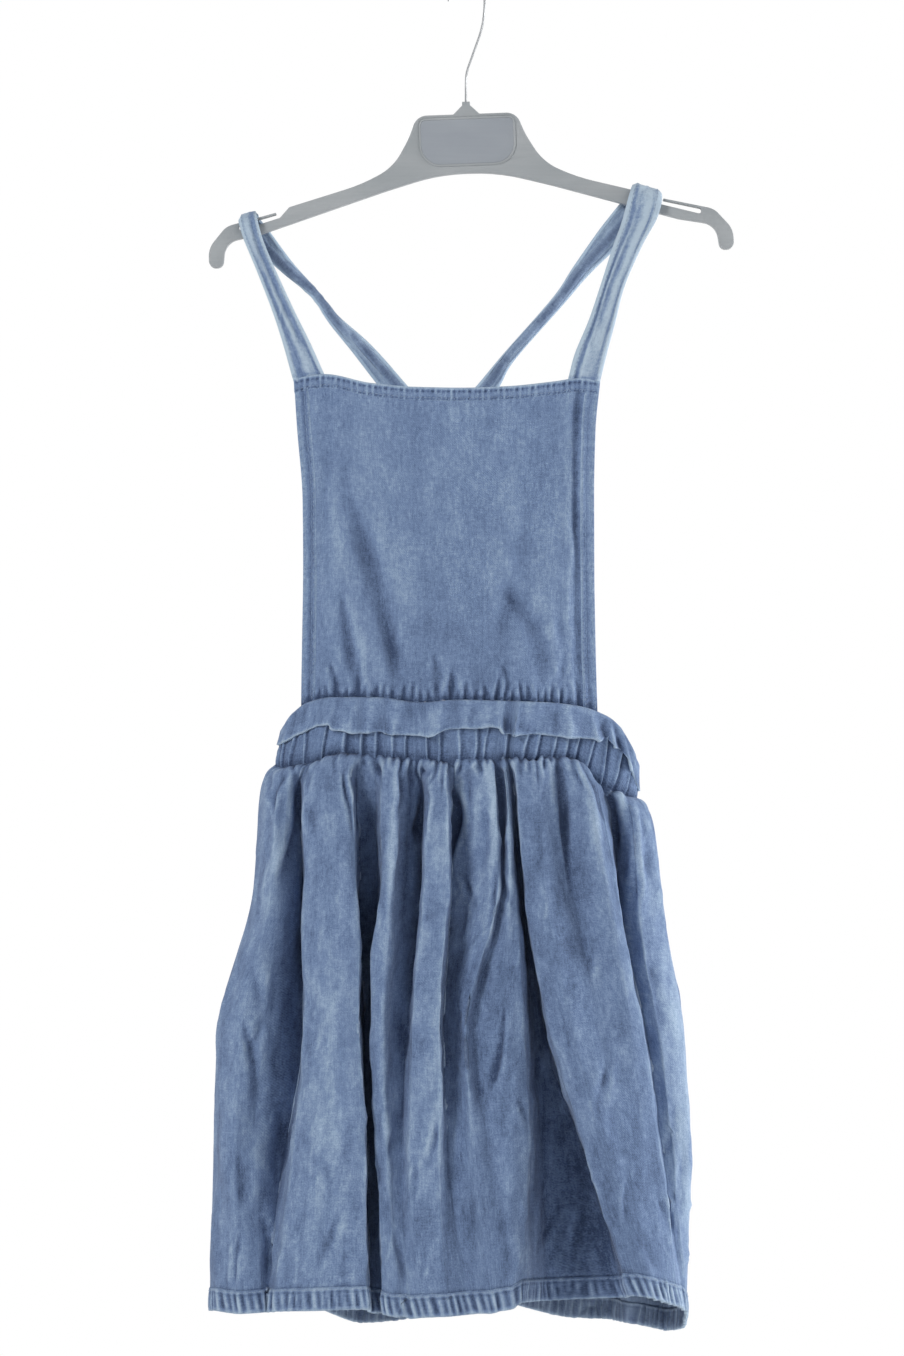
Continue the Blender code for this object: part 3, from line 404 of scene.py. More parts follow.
SKIRT_FRONT_CREASES = (
    Crease("left_shoulder_pull", ((-107.5, -493), (-113, -500), (-117, -508), (-118, -518)), 4.0, 2.6, 1.0),
    Crease(
        "left_hip_slant", ((-101.5, -495.5), (-102.5, -519), (-106.5, -544.5), (-112.5, -560)), 5, 2.6, 1.2
    ),
    Crease("left_soft", ((-120.5, -517.5), (-122, -538), (-125.5, -563)), 6, 1.4, 0.6),
    Crease("ridge_dent", ((-90.5, -508), (-93, -517.5), (-92, -532)), 5, 1.6, 0.7),
    Crease("ridge_soft", ((-83, -532), (-83.5, -554), (-83, -579)), 7, 1.0, 0.4),
    Crease("twin_inner", ((-74.5, -491), (-73, -503.5), (-69.5, -517.5), (-68.5, -532)), 2.6, 2.6, 1.3),
    Crease("twin_outer", ((-69.5, -489.5), (-67.5, -503.5), (-67, -517.5)), 2.2, 1.8, 1.0),
    Crease("hollow_cross", ((-65.5, -507), (-61, -506.5), (-52.5, -507)), 3.5, 1.0, 0.6),
    Crease("narrow_pinch", ((-38, -483), (-39.5, -494), (-38, -508), (-41.5, -518)), 3.4, 2.6, 0.9, True),
    Crease("narrow_side", ((-34, -511.5), (-35.5, -532), (-37.5, -554), (-39, -579)), 6, 2.2, 0.8),
    Crease("knot_left", ((-28, -500.5), (-23.5, -508), (-24.5, -522.5), (-25.5, -538)), 2.8, 2.8, 1.2),
    Crease("knot_hook", ((-28, -489), (-26, -493), (-23, -494), (-20.5, -490)), 2.6, 2.2, 0.9),
    Crease("knot_foot", ((-17, -484), (-18.5, -494), (-22.5, -501)), 2.4, 2.4, 1.0, True),
    Crease("knot_right", ((-13.5, -484), (-14.5, -495), (-14.5, -505)), 2.4, 2.2, 0.9, True),
    Crease("third_top", ((-24.5, -499), (-25.5, -508), (-27.5, -520), (-29.5, -538)), 5, 4.5, 0.8),
    Crease(
        "fourth_top",
        ((-8, -483), (-10, -502), (-6, -511), (-5.5, -522), (-8, -538), (-10.5, -556)),
        4, 4.2, 1.0, True,
    ),
    Crease("middle_dent", ((2.5, -494), (1.5, -503.5), (2.5, -517.5)), 4, 1.5, 0.7),
    Crease("middle_cross", ((-5, -552), (-0.5, -560), (3.5, -569.5), (7, -577.5)), 3.2, 1.8, 1.2),
    Crease("middle_rib", ((10, -510), (11, -532), (9.5, -554)), 5, 1.1, 0.5),
    Crease(
        "fifth_line",
        ((19, -483), (21, -500), (22, -519), (20.5, -544), (15.5, -576), (11.5, -598)),
        4.6, 2.4, 0.4, True,
    ),
    Crease("strip_line", ((25, -483), (26.5, -496), (28, -512), (30, -538), (32, -556)), 3.4, 2.0, 0.4, True),
    Crease("strip_cross", ((21, -554), (25, -566.5), (29, -576)), 4, 1.4, 0.9),
    Crease(
        "panel_trough", ((55.5, -483), (57, -497), (59, -516), (60.5, -540), (63, -566)), 4.2, 3.6, 1.0, True
    ),
    Crease("panel_rib", ((43, -510), (43.5, -538), (46, -563)), 7, 1.0, 0.5),
    Crease(
        "right_hollow",
        ((67, -483), (75.5, -497), (81.5, -511.5), (87, -532), (89, -552), (92, -572.5)),
        6, 3.2, 1.1, True,
    ),
    Crease("side_top", ((83, -497), (88, -512.5), (90.5, -526), (93, -542)), 5.5, 3.4, 0.9, True),
    Crease("right_rib_line", ((96.5, -508), (101.5, -528.5), (103, -554), (102.5, -579)), 3.4, 2.2, 1.6),
    Crease("right_end", ((106, -519), (109.5, -538), (110.5, -563)), 4, 1.4, 0.8),
    Crease("left_cross_down", ((-132.5, -607), (-126.5, -624.5), (-123, -635.5)), 5.5, 1.3, 0.8),
    Crease("left_cross_up", ((-121, -640), (-126.5, -656), (-131, -664.5)), 5.0, 1.3, 0.9),
    Crease(
        "left_cross_low", ((-137, -641.5), (-130.5, -659), (-126.5, -681), (-127.5, -701.5)), 4.6, 1.9, 1.2
    ),
    Crease("left_blotch", ((-141, -723.5), (-136.5, -734.5), (-135, -755)), 8, 1.8, 0.8),
    Crease("left_nick", ((-136.5, -775.5), (-139.5, -788), (-141, -803.5)), 3.0, 2.8, 1.3),
    Crease("left_nick_inner", ((-123.5, -764.5), (-120, -780), (-119.5, -800)), 4.5, 3.0, 1.3),
    Crease("valley_fan", ((-113, -698.5), (-116, -723.5), (-115, -747)), 7, 1.8, 0.8),
    Crease("ridge_low_dent", ((-86, -726.5), (-83.5, -734.5), (-81.5, -741.5)), 4.5, 1.5, 0.8),
    Crease("ridge_low_slant", ((-72, -755), (-78.5, -764.5), (-83.5, -777), (-91.5, -792.5)), 4.5, 1.7, 1.3),
    Crease("ridge_low_line", ((-98, -755), (-100.5, -774), (-96.5, -791)), 5, 1.1, 0.7),
    Crease("ridge_press", ((-112, -772.5), (-103.5, -770.5), (-93.5, -770.5)), 2.4, 0.6, 0.4),
    Crease("ridge_foot", ((-72, -777), (-74, -791), (-72.5, -803.5)), 4, 1.3, 0.8),
    Crease("narrow_bulge", ((-57.5, -717), (-53.5, -733), (-50.5, -744)), 5, 1.6, 1.4),
    Crease("narrow_foot", ((-46.5, -764.5), (-41, -781.5), (-36, -804.5)), 4, 1.7, 1.1),
    Crease("centre_tail", ((-16.5, -698.5), (-20, -720.5), (-27, -736)), 3.6, 2.0, 1.5),
    Crease("centre_short", ((-29.5, -726.5), (-30.5, -737.5), (-31.5, -750)), 2.8, 1.4, 1.1),
    Crease("centre_foot", ((-24.5, -777.5), (-25.5, -786.5), (-27, -798)), 3, 1.3, 0.9),
    Crease("centre_soft", ((-40.5, -698.5), (-43.5, -714), (-47.5, -726.5)), 6, 1.4, 0.6),
    Crease("middle_sharp", ((23, -635.5), (21, -654.5), (16.5, -676.5), (13.5, -687.5)), 3.4, 2.6, 1.6),
    Crease(
        "middle_edge", ((13, -596), (7.5, -616.5), (2, -637), (0.5, -660.5), (1.5, -682.5)), 6.5, 1.6, 0.3
    ),
    Crease("middle_slant", ((29.5, -689), (34, -697), (38.5, -706)), 4, 1.8, 1.0),
    Crease("middle_press", ((-14, -750.5), (12.5, -748.5), (36.5, -750.5)), 2.6, 0.6, 0.4),
    Crease("middle_press_high", ((11, -721.5), (25.5, -720.5), (37, -722)), 2.6, 0.6, 0.4),
    Crease("middle_low_line", ((20.5, -755), (23, -774), (27, -793)), 6, 1.4, 0.8),
    Crease("recess_slant", ((60.5, -756.5), (52, -772.5), (42.5, -787.5)), 4, 1.8, 1.2),
    Crease("recess_rib", ((74.5, -755), (69.5, -775.5), (66, -797.5)), 4, 1.8, 1.4),
    Crease("panel_scar", ((63, -648), (60, -656), (61, -663.5)), 3, 0.9, 0.6),
    Crease("panel_line", ((86.5, -662), (81.5, -682.5), (78.5, -701.5)), 4.5, 1.3, 0.8),
    Crease("panel_press", ((77.5, -722.5), (94.5, -721.5), (114.5, -723)), 2.4, 0.7, 0.4),
    Crease("panel_square_top", ((95.5, -739.5), (105.5, -738.5), (115, -739.5)), 2.6, 0.8, 0.5),
    Crease("panel_square_side", ((96.5, -738), (95, -750.5), (97, -764.5)), 2.8, 0.9, 0.6),
    Crease("panel_square_low", ((94.5, -763), (104, -761.5), (113.5, -766)), 2.6, 0.8, 0.5),
    Crease("panel_foot", ((80.5, -761.5), (86.5, -775.5), (92, -796)), 4.5, 1.9, 1.3),
    Crease("panel_foot_slant", ((105.5, -774), (110.5, -783.5), (118, -793)), 4.5, 1.4, 0.9),
    Crease("ridge_line", ((115, -747), (120, -760), (125, -775.5)), 3.6, 1.6, 1.3),
    Crease("right_kink", ((120.5, -697), (126, -701), (125, -714), (120, -727.5)), 5, 1.0, 0.6),
    Crease("right_soft", ((110.5, -607), (115, -629), (118, -654.5)), 6, 1.8, 0.9),
    Crease("right_low_soft", ((131, -730), (129, -745.5), (130, -766)), 5, 1.6, 0.9),
)

SKIRT_FRONT_PINCHES = (
    Crease("lobe_outer", ((-118, -489), (-119, -500), (-121, -510)), 3.0, 1.2, 0.5, True),
    Crease("lobe_inner", ((-105, -487), (-104, -498)), 2.6, 1.6, 0.6, True),
    Crease("ridge_start", ((-97, -484), (-96, -496), (-95.5, -506)), 3.0, 1.0, 0.5, True),
    Crease("ridge_mark", ((-88, -480), (-88.5, -490)), 2.4, 0.8, 0.4, True),
    Crease("ridge_light", ((-80, -480), (-79.5, -492), (-79, -500)), 3.2, 0.9, 0.5, True),
    Crease("hollow_notch", ((-62, -482), (-62, -491)), 2.6, 2.2, 0.8, True),
    Crease("hollow_wedge", ((-55.5, -482), (-53.5, -491), (-51, -502)), 3.0, 3.0, 0.9, True),
    Crease("narrow_start", ((-49, -482), (-48.5, -492)), 2.6, 1.6, 0.8, True),
    Crease("narrow_short", ((-43.5, -482), (-44, -490)), 2.4, 1.6, 0.7, True),
    Crease("narrow_end", ((-32.5, -483), (-33.5, -497), (-34, -510)), 3.0, 2.4, 0.9, True),
    Crease("knot_start", ((-29.5, -483), (-29.5, -496), (-26.5, -501)), 2.8, 3.0, 1.0, True),
    Crease("middle_start", ((-2, -483), (-3.5, -491), (-6, -496)), 2.6, 2.4, 0.9, True),
    Crease("middle_light", ((3, -483), (2.5, -491)), 2.4, 1.6, 0.7, True),
    Crease("middle_wedge", ((8, -483), (8.5, -490), (10.5, -499)), 3.2, 2.6, 0.9, True),
    Crease("middle_last", ((13, -483), (13, -492)), 2.4, 1.4, 0.7, True),
    Crease("panel_first", ((33.5, -483), (33.5, -493)), 3.4, 3.0, 1.0, True),
    Crease("panel_second", ((38, -482), (38.5, -493)), 2.6, 2.8, 1.0, True),
    Crease("panel_third", ((42.5, -482), (43.5, -495), (44, -503)), 2.8, 1.6, 0.8, True),
    Crease("panel_fourth", ((48, -482), (47.5, -492)), 2.6, 2.8, 1.0, True),
    Crease("panel_fifth", ((51.5, -482), (51, -490)), 2.4, 2.0, 0.8, True),
    Crease("strip_mark", ((62, -482), (66, -493), (71, -503), (76, -511)), 3.4, 2.2, 0.8, True),
    Crease("side_short", ((94, -502), (99, -510), (101.5, -522)), 3.2, 1.8, 0.8, True),
)

SKIRT_BACK_CREASES = (
    Crease("right_hip", ((86, -530), (95, -548), (101, -574)), 5, 2.0, 0.9),
    Crease("right_low", ((112, -760), (106, -790), (108, -820)), 6, 1.6, 0.8),
    Crease("middle_cross", ((10, -640), (22, -662), (26, -700)), 6, 1.8, 1.0),
    Crease("middle_low", ((-14, -760), (-8, -788), (-12, -820)), 7, 1.6, 0.8),
    Crease("left_cross", ((-70, -620), (-58, -645), (-55, -684)), 6, 1.8, 1.0),
    Crease("left_hip", ((-104, -520), (-99, -545), (-104, -580)), 5, 1.8, 0.8),
    Crease("left_low", ((-118, -740), (-112, -772), (-115, -806)), 6, 1.6, 0.9),
    Crease("seat", ((44, -560), (30, -580), (6, -592)), 7, 1.2, 0.7),
)


@dataclass(frozen=True)
class Walls:
    """Thicknesses and hem sizes shared by all the cloth."""

    cloth: float = 1.2
    hem: float = 2.2
    strap: float = 2.4
    strip: float = 1.8
    hem_rise: float = 0.5
    hem_depth: float = 14.0


WALLS = Walls()


# ---- curves and sheets


def between(places: tuple[float, ...], values: tuple[float, ...], place: Array | float) -> Array:
    """Smooth values at some places, with no overshoot at a turning point.

    Args:
        places: rising places that have a value.
        values: their values.
        place: where values are wanted.

    Returns:
        The values there, in the shape of place.
    """
    known, value, place = np.asarray(places, float), np.asarray(values, float), np.asarray(place, float)
    steps = np.diff(known)
    rises = np.diff(value) / steps
    product, total = rises[:-1] * rises[1:], rises[:-1] + rises[1:]
    turning = product <= 0
    inner = np.where(turning, 0.0, 2 * product / np.where(turning, 1.0, total))
    slopes = np.concatenate([rises[:1], inner, rises[-1:]])
    i = np.clip(np.searchsorted(known, place, "right") - 1, 0, len(steps) - 1)
    t = (place - known[i]) / steps[i]
    a, b, m, n = value[i], value[i + 1], slopes[i] * steps[i], slopes[i + 1] * steps[i]
    start, end = (2 * t**3 - 3 * t**2 + 1) * a, (3 * t**2 - 2 * t**3) * b
    return start + (t**3 - 2 * t**2 + t) * m + end + (t**3 - t**2) * n


def along(rows: tuple[Share, ...], share: Array) -> Array:
    """Values of an edge line at these shares of its length."""
    return between(tuple(row.share for row in rows), tuple(row.value for row in rows), share)


def bell(place: Array, middle: float, width: float) -> Array:
    """Bell curve of height 1 round a middle, fallen to a third a width away."""
    return np.exp(-(((place - middle) / width) ** 2))


def reach_along(line: Array) -> Array:
    """Distance from the start of a line of points to each of them."""
    return np.concatenate([[0.0], np.cumsum(np.linalg.norm(np.diff(line, axis=0), axis=1))])


def through(points: Array, places: Array) -> Array:
    """Points of a smooth curve through rows of points.

    Args:
        points: array (count, ..., 3) of the points passed through.
        places: where the curve is wanted, counted in points.

    Returns:
        Array (len(places), ..., 3).
    """
    last = len(points) - 1
    i = np.clip(places.astype(int), 0, last - 1)
    t = (places - i).reshape((-1,) + (1,) * (points.ndim - 1))
    b, c = points[i], points[i + 1]
    a = np.where((i > 0).reshape(t.shape), points[np.maximum(i - 1, 0)], 2 * b - c)
    d = np.where((i + 2 <= last).reshape(t.shape), points[np.minimum(i + 2, last)], 2 * c - b)
    return 0.5 * (2 * b + (c - a) * t + (2 * a - 5 * b + 4 * c - d) * t**2 + (3 * b - a - 3 * c + d) * t**3)


def normals(points: Array) -> Array:
    """Unit vectors off a grid of points, out of the face whose columns run right and rows up.

    Args:
        points: grid (rows, columns, 3).

    Returns:
        A vector for each point.
    """
    across, up = np.gradient(points, axis=1), np.gradient(points, axis=0)
    off = np.cross(across, up)
    return off / np.maximum(np.linalg.norm(off, axis=2, keepdims=True), 1e-9)


def rumple(points: Array, size: float, height: float, seed: float, squash: float = 1.0) -> Array:
    """Gentle unevenness of lived-in cloth.

    Args:
        points: grid of points.
        size: distance between bumps.
        height: their height.
        seed: which pattern.
        squash: width of a bump over its length down the cloth.

    Returns:
        Height at each point.
    """
    flat = (points * np.array([1.0, 1.0, squash])).reshape(-1, 3) / size + seed
    return height * np.array([noise.noise(Vector(p)) for p in flat]).reshape(points.shape[:2])


def crumple(points: Array, size: float, height: float, seed: float, squash: float = 1.0) -> Array:
    """Patchy net of soft crease ridges, as cloth keeps from being packed.

    Args:
        points: grid of points.
        size: distance between creases.
        height: their height.
        seed: which pattern.
        squash: width of the net's meshes over their length down the cloth.

    Returns:
        Height at each point.
    """
    ridge = (1 - np.abs(rumple(points, size, 1.0, seed, squash)) * 1.6).clip(0, 1) ** 5
    patch = np.clip(rumple(points, size * 2.7, 1.0, seed + 40, squash) * 1.6 + 0.45, 0, 1)
    return height * ridge * patch


def sunk(out: Array) -> Array:
    """How deep each point lies below the ridges on both sides of it.

    Args:
        out: distance out of each point, (rows, columns).

    Returns:
        Depth at each point, 0 on a ridge.
    """
    left, right = out.copy(), out.copy()
    step = max(1, out.shape[1] // 70)
    for shift in range(step, 6 * step, step):
        left[:, shift:] = np.maximum(left[:, shift:], out[:, :-shift])
        right[:, :-shift] = np.maximum(right[:, :-shift], out[:, shift:])
    return np.minimum(left, right) - out


def nearest_on(line: Array, x: Array, z: Array) -> tuple[Array, Array, Array]:
    """How each point of a panel lies to a line drawn on it.

    Args:
        line: points (count, 2) of the line as X and Z.
        x, z: place of each point.

    Returns:
        Distance from the line, share of its length at the nearest place, and the side of it as -1 or 1.
    """
    reach = reach_along(line)
    best = np.full(x.shape, np.inf)
    share, side = np.zeros_like(x), np.zeros_like(x)
    for a, b, start in zip(line, line[1:], reach):
        run = b - a
        length = np.linalg.norm(run)
        t = np.clip(((x - a[0]) * run[0] + (z - a[1]) * run[1]) / length**2, 0, 1)
        dx, dz = x - a[0] - t * run[0], z - a[1] - t * run[1]
        far = np.hypot(dx, dz)
        nearer = far < best
        share = np.where(nearer, (start + t * length) / reach[-1], share)
        side = np.where(nearer, np.sign(dx * run[1] - dz * run[0]), side)
        best = np.minimum(best, far)
    return best, share, side


def crease_relief(creases: tuple[Crease, ...], x: Array, z: Array) -> tuple[Array, Array]:
    """Height, and wear with painted shade, that the listed creases give a panel.

    Args:
        creases: the creases.
        x, z: place of each point.

    Returns:
        Height, and wear with painted shade, at each point.
    """
    height, wear_and_shading = np.zeros_like(x), np.zeros_like(x)
    for number, crease in enumerate(creases):
        knots = np.array([(a, b, 0.0) for a, b in crease.points], float)
        line = through(knots, np.linspace(0, len(knots) - 1, 5 * (len(knots) - 1) + 1))[:, :2]
        far, place, side = nearest_on(line, x, z)
        start = np.ones_like(place) if crease.sewn else place
        ends = np.clip(np.minimum(start, 1 - place) * (2 if crease.sewn else 4) + 0.1, 0, 1)
        uneven = 0.8 + 0.2 * np.sin(9 * place + number)
        width = crease.width * (0.55 + 0.45 * ends) * (0.9 + 0.2 * np.sin(6 * place + 2 * number))
        near = np.clip(far / width, 0, 3)
        trough = bell(near, 0, 0.55)
        lip = bell(near, 1.25, 0.6) * (0.7 + 0.5 * side * np.sin(number * 2.4))
        height += ends * uneven * (crease.lip * lip - crease.depth * trough)
        shade = min(abs(crease.depth) / 2.5, 1.0) * (1.8 if crease.sewn else 1.0)
        # painted shade along each trough, with its lips paler
        wear_and_shading += ends * uneven * shade * (0.34 * lip - 0.55 * trough)
    return height, wear_and_shading


@dataclass
class Sheet:
    """A grid of cloth points, with what its finish needs to know.

    points: (rows, columns, 3), rows up and columns to the right of its face.
    width, length: the size that its weave is laid out on.
    wear and shading: how washed out each point is, with painted shade below 0 in valleys, creases and hollows
    and painted light on some patches, about -1 to 1; none to start with.
    """

    points: Array
    width: float
    length: float
    wear_and_shading: Array = field(init=False)

    def __post_init__(self) -> None:
        """Starts with no wear and no painted shading."""
        self.wear_and_shading = np.zeros(self.points.shape[:2])

    def shares(self) -> tuple[Array, Array]:
        """Share of the width and of the length at each point."""
        rows, columns = self.points.shape[:2]
        return np.meshgrid(np.linspace(0, 1, columns), np.linspace(0, 1, rows))

    def lift(self, height: Array) -> None:
        """Moves every point off the face by a height."""
        self.points = self.points + normals(self.points) * height[..., None]

    def wear_ridges_shade_valleys(self, strength: float, reach: int) -> None:
        """Adds wear where the cloth bends outwards, and paints shade into the valleys where it bends inwards.

        Args:
            strength: how much wear, or in a valley how much painted shade, a bend gives.
            reach: how many points away a bend is measured.
        """
        p = self.points
        centre = p[reach:-reach, reach:-reach]
        around = (p[reach:-reach, : -2 * reach] + p[reach:-reach, 2 * reach :]) / 2
        span = np.linalg.norm(p[reach:-reach, 2 * reach :] - p[reach:-reach, : -2 * reach], axis=2)
        bend = ((centre - around) * normals(p)[reach:-reach, reach:-reach]).sum(axis=2)
        bend = bend / np.maximum(span, 0.3) ** 1.3
        self.wear_and_shading[reach:-reach, reach:-reach] += np.clip(bend * strength, -0.7, 0.4)


def place_mesh(bm: bmesh.types.BMesh, name: str, *finishes: Finish) -> Piece:
    """Puts a finished bmesh into the scene.

    Args:
        bm: the bmesh, which is freed.
        name: name of the piece.
        *finishes: its materials.

    Returns:
        The piece.
    """
    mesh = bpy.data.meshes.new(name)
    bm.to_mesh(mesh)
    bm.free()
    for finish in finishes:
        mesh.materials.append(finish)
    piece = bpy.data.objects.new(name, mesh)
    bpy.context.scene.collection.objects.link(piece)
    return piece


def make_piece(
    node: str, sheet: Sheet, wall: float, finishes: "Finishes", face: Finish | None = None
) -> Piece:
    """Closed shell of cloth with its weave laid out on its own UV map.

    Args:
        node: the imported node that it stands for.
        sheet: its outer face.
        wall: thickness, inwards.
        finishes: the materials of its face, its wrong side and its rim.
        face: another material for its face.

    Returns:
        The piece.
    """
    rows, columns = sheet.points.shape[:2]
    bm = bmesh.new()
    bmesh.ops.create_grid(bm, x_segments=columns - 1, y_segments=rows - 1, size=0.5)
    wear_and_shading = bm.verts.layers.float.new("wear_and_shading")
    weave = bm.loops.layers.uv.new("weave")
    placed = {}
    for vertex in bm.verts:
        column = round((vertex.co.x + 0.5) * (columns - 1))
        row = round((vertex.co.y + 0.5) * (rows - 1))
        placed[vertex] = (column / (columns - 1) * sheet.width * MM, row / (rows - 1) * sheet.length * MM)
        vertex[wear_and_shading] = float(np.clip(sheet.wear_and_shading[row, column], -WEAR_AND_SHADING_LIMIT, WEAR_AND_SHADING_LIMIT))
        vertex.co = Vector(sheet.points[row, column]) * MM
    for polygon in bm.faces:
        polygon.smooth = True
        for loop in polygon.loops:
            loop[weave].uv = placed[loop.vert]
    piece = place_mesh(bm, node + "_cloth", face or finishes.face, finishes.reverse, finishes.edge)
    shell = piece.modifiers.new("wall", "SOLIDIFY")
    shell.thickness, shell.offset, shell.use_rim = wall * MM, -1.0, True
    shell.material_offset, shell.material_offset_rim = 1, 2
    return piece


# ---- finishes


class Nodes:
    """Short hand for laying out a material's nodes."""

    def __init__(self, name: str) -> None:
        """Starts a material with only its output and shader.

        Args:
            name: name of the material.
        """
        self.material = bpy.data.materials.new(name)
        self.material.use_nodes = True
        self.tree = self.material.node_tree
        self.shader = self.tree.nodes["Principled BSDF"]

    def add(self, kind: str, inputs: dict[str, object] | None = None, **values: object) -> bpy.types.Node:
        """Adds a node.

        Args:
            kind: its type.
            inputs: values of its inputs.
            **values: its own properties.

        Returns:
            The node.
        """
        node = self.tree.nodes.new(kind)
        for name, value in (inputs or {}).items():
            node.inputs[name].default_value = value
        for name, value in values.items():
            setattr(node, name, value)
        return node

    def join(self, source: Socket, target: Socket) -> None:
        """Links two sockets."""
        self.tree.links.new(source, target)

    def set(self, **values: float) -> None:
        """Sets the shader's inputs, named with underlines for spaces."""
        for name, value in values.items():
            self.shader.inputs[name.replace("_", " ")].default_value = value

    def noise(self, place: Socket, scale: Triple, detail: float) -> Socket:
        """Noise on stretched coordinates.

        Args:
            place: the coordinates, in metres.
            scale: features a metre along each of them.
            detail: how much finer noise is added.

        Returns:
            The noise, from 0 to 1.
        """
        mapping = self.add("ShaderNodeMapping", {"Scale": scale})
        texture = self.add("ShaderNodeTexNoise", {"Scale": 1.0, "Detail": detail})
        self.join(place, mapping.inputs["Vector"])
        self.join(mapping.outputs["Vector"], texture.inputs["Vector"])
        return texture.outputs["Fac"]

    def sum(self, parts: list[tuple[Socket, float]], base: float) -> Socket:
        """Weighted sum of sockets.

        Args:
            parts: each socket with its weight.
            base: what is added to them.

        Returns:
            The sum.
        """
        total = None
        for socket, weight in parts:
            step = self.add("ShaderNodeMath", operation="MULTIPLY_ADD")
            self.join(socket, step.inputs[0])
            step.inputs[1].default_value = weight
            if total is None:
                step.inputs[2].default_value = base
            else:
                self.join(total, step.inputs[2])
            total = step.outputs[0]
        return total

    def colour(self, tone: Socket, *stops: tuple[float, Triple]) -> None:
        """Colours the shader from a tone.

        Args:
            tone: what the colour follows.
            *stops: places from 0 to 1 with their linear colours.
        """
        node = self.add("ShaderNodeValToRGB")
        ramp = node.color_ramp
        while len(ramp.elements) < len(stops):
            ramp.elements.new(0.5)
        for element, (place, colour) in zip(ramp.elements, stops):
            element.position, element.color = place, (*colour, 1.0)
        self.join(tone, node.inputs["Fac"])
        self.join(node.outputs["Color"], self.shader.inputs["Base Color"])

    def bump(self, height: Socket, distance: float, strength: float) -> None:
        """Relief on the shader's normal.

        Args:
            height: the relief, from 0 to 1.
            distance: its height in metres.
            strength: how much of it shows.
        """
        node = self.add("ShaderNodeBump", {"Distance": distance, "Strength": strength})
        self.join(height, node.inputs["Height"])
        self.join(node.outputs["Normal"], self.shader.inputs["Normal"])


def linear(red: int, green: int, blue: int) -> Triple:
    """Linear colour of a display colour of 0 to 255."""
    shown = (red / 255, green / 255, blue / 255)
    return tuple((v / 12.92 if v <= 0.04045 else ((v + 0.055) / 1.055) ** 2.4) for v in shown)


@dataclass(frozen=True)
class Denim:
    """Washed light denim: pale weft under blue warp, faded on ridges and edges, with the painted light and
    shade that its wear attribute carries.
    """

    name: str
    deep: Colour = (60, 76, 107)
    middle: Colour = (114, 136, 172)
    pale: Colour = (174, 195, 216)
    lift: float = 0.0
    streak: float = 0.22
    grain: float = 0.42
    mottle: float = 0.3

    def material(self) -> Finish:
        """Builds the material, its weave laid on the piece's own UV map in metres.

        Returns:
            The material.
        """
        nodes = Nodes(self.name)
        weave = nodes.add("ShaderNodeUVMap", uv_map="weave").outputs["UV"]
        # the wear attribute carries wash wear together with painted light and shade into the colour
        wear_and_shading = nodes.add("ShaderNodeAttribute", attribute_name="wear_and_shading").outputs["Fac"]
        warp = nodes.noise(weave, (1300.0, 150.0, 1.0), 3.0)
        weft = nodes.noise(weave, (150.0, 1100.0, 1.0), 3.0)
        grain = nodes.noise(weave, (1500.0, 1300.0, 1.0), 2.0)
        slub = nodes.noise(weave, (520.0, 60.0, 1.0), 4.0)
        mottle = nodes.noise(weave, (520.0, 330.0, 1.0), 5.0)
        cloud = nodes.noise(weave, (38.0, 22.0, 1.0), 3.0)
        blotch = nodes.noise(weave, (130.0, 60.0, 1.0), 3.0)
        parts = [(warp, self.streak), (weft, 0.16), (grain, self.grain), (slub, 0.16)]
        parts += [(mottle, self.mottle), (cloud, 0.26), (blotch, 0.2)]
        tone = nodes.sum([*parts, (wear_and_shading, 0.26)], 0.5 + self.lift - sum(weight for _, weight in parts) / 2)
        deep, middle, pale = linear(*self.deep), linear(*self.middle), linear(*self.pale)
        nodes.colour(tone, (0.18, deep), (0.5, middle), (0.86, pale))
        bands = {"Scale": 420.0, "Distortion": 1.2}
        twill = nodes.add("ShaderNodeTexWave", bands, wave_type="BANDS", bands_direction="DIAGONAL")
        nodes.join(weave, twill.inputs["Vector"])
        relief = nodes.sum([(twill.outputs["Fac"], 0.5), (warp, 0.5), (grain, 0.6)], 0.0)
        nodes.bump(relief, 0.00035, 0.55)
        nodes.set(Roughness=0.93, Specular_IOR_Level=0.15, Sheen_Weight=0.08, Sheen_Roughness=0.6)
        return nodes.material


@dataclass(frozen=True)
class SewingThread:
    """Matt polyester thread in the tone of the worn cloth."""

    name: str = "sewing_thread"
    dark: Colour = (112, 132, 160)
    light: Colour = (158, 176, 200)

    def material(self) -> Finish:
        """Builds the material on object coordinates.

        Returns:
            The material.
        """
        nodes = Nodes(self.name)
        place = nodes.add("ShaderNodeTexCoord").outputs["Object"]
        twist = nodes.noise(place, (900.0, 900.0, 900.0), 2.0)
        nodes.colour(twist, (0.3, linear(*self.dark)), (0.7, linear(*self.light)))
        nodes.bump(twist, 0.0001, 0.4)
        nodes.set(Roughness=0.6)
        return nodes.material


@dataclass(frozen=True)
class MouldedPlastic:
    """Satin grey plastic with the faint flow and scuffs of a shop hanger."""

    name: str
    dark: Colour = (152, 158, 162)
    light: Colour = (170, 174, 177)
    roughness: float = 0.42

    def material(self) -> Finish:
        """Builds the material on object coordinates.

        Returns:
            The material.
        """
        nodes = Nodes(self.name)
        place = nodes.add("ShaderNodeTexCoord").outputs["Object"]
        flow = nodes.noise(place, (16.0, 30.0, 45.0), 4.0)
        pits = nodes.noise(place, (700.0, 700.0, 700.0), 3.0)
        scuff = nodes.noise(place, (40.0, 60.0, 900.0), 4.0)
        tone = nodes.sum([(flow, 0.8), (scuff, 0.25)], -0.02)
        nodes.colour(tone, (0.3, linear(*self.dark)), (0.72, linear(*self.light)))
        rough = nodes.sum([(pits, 0.16), (scuff, 0.14)], self.roughness - 0.15)
        nodes.join(rough, nodes.shader.inputs["Roughness"])
        nodes.bump(pits, 0.00008, 0.35)
        return nodes.material


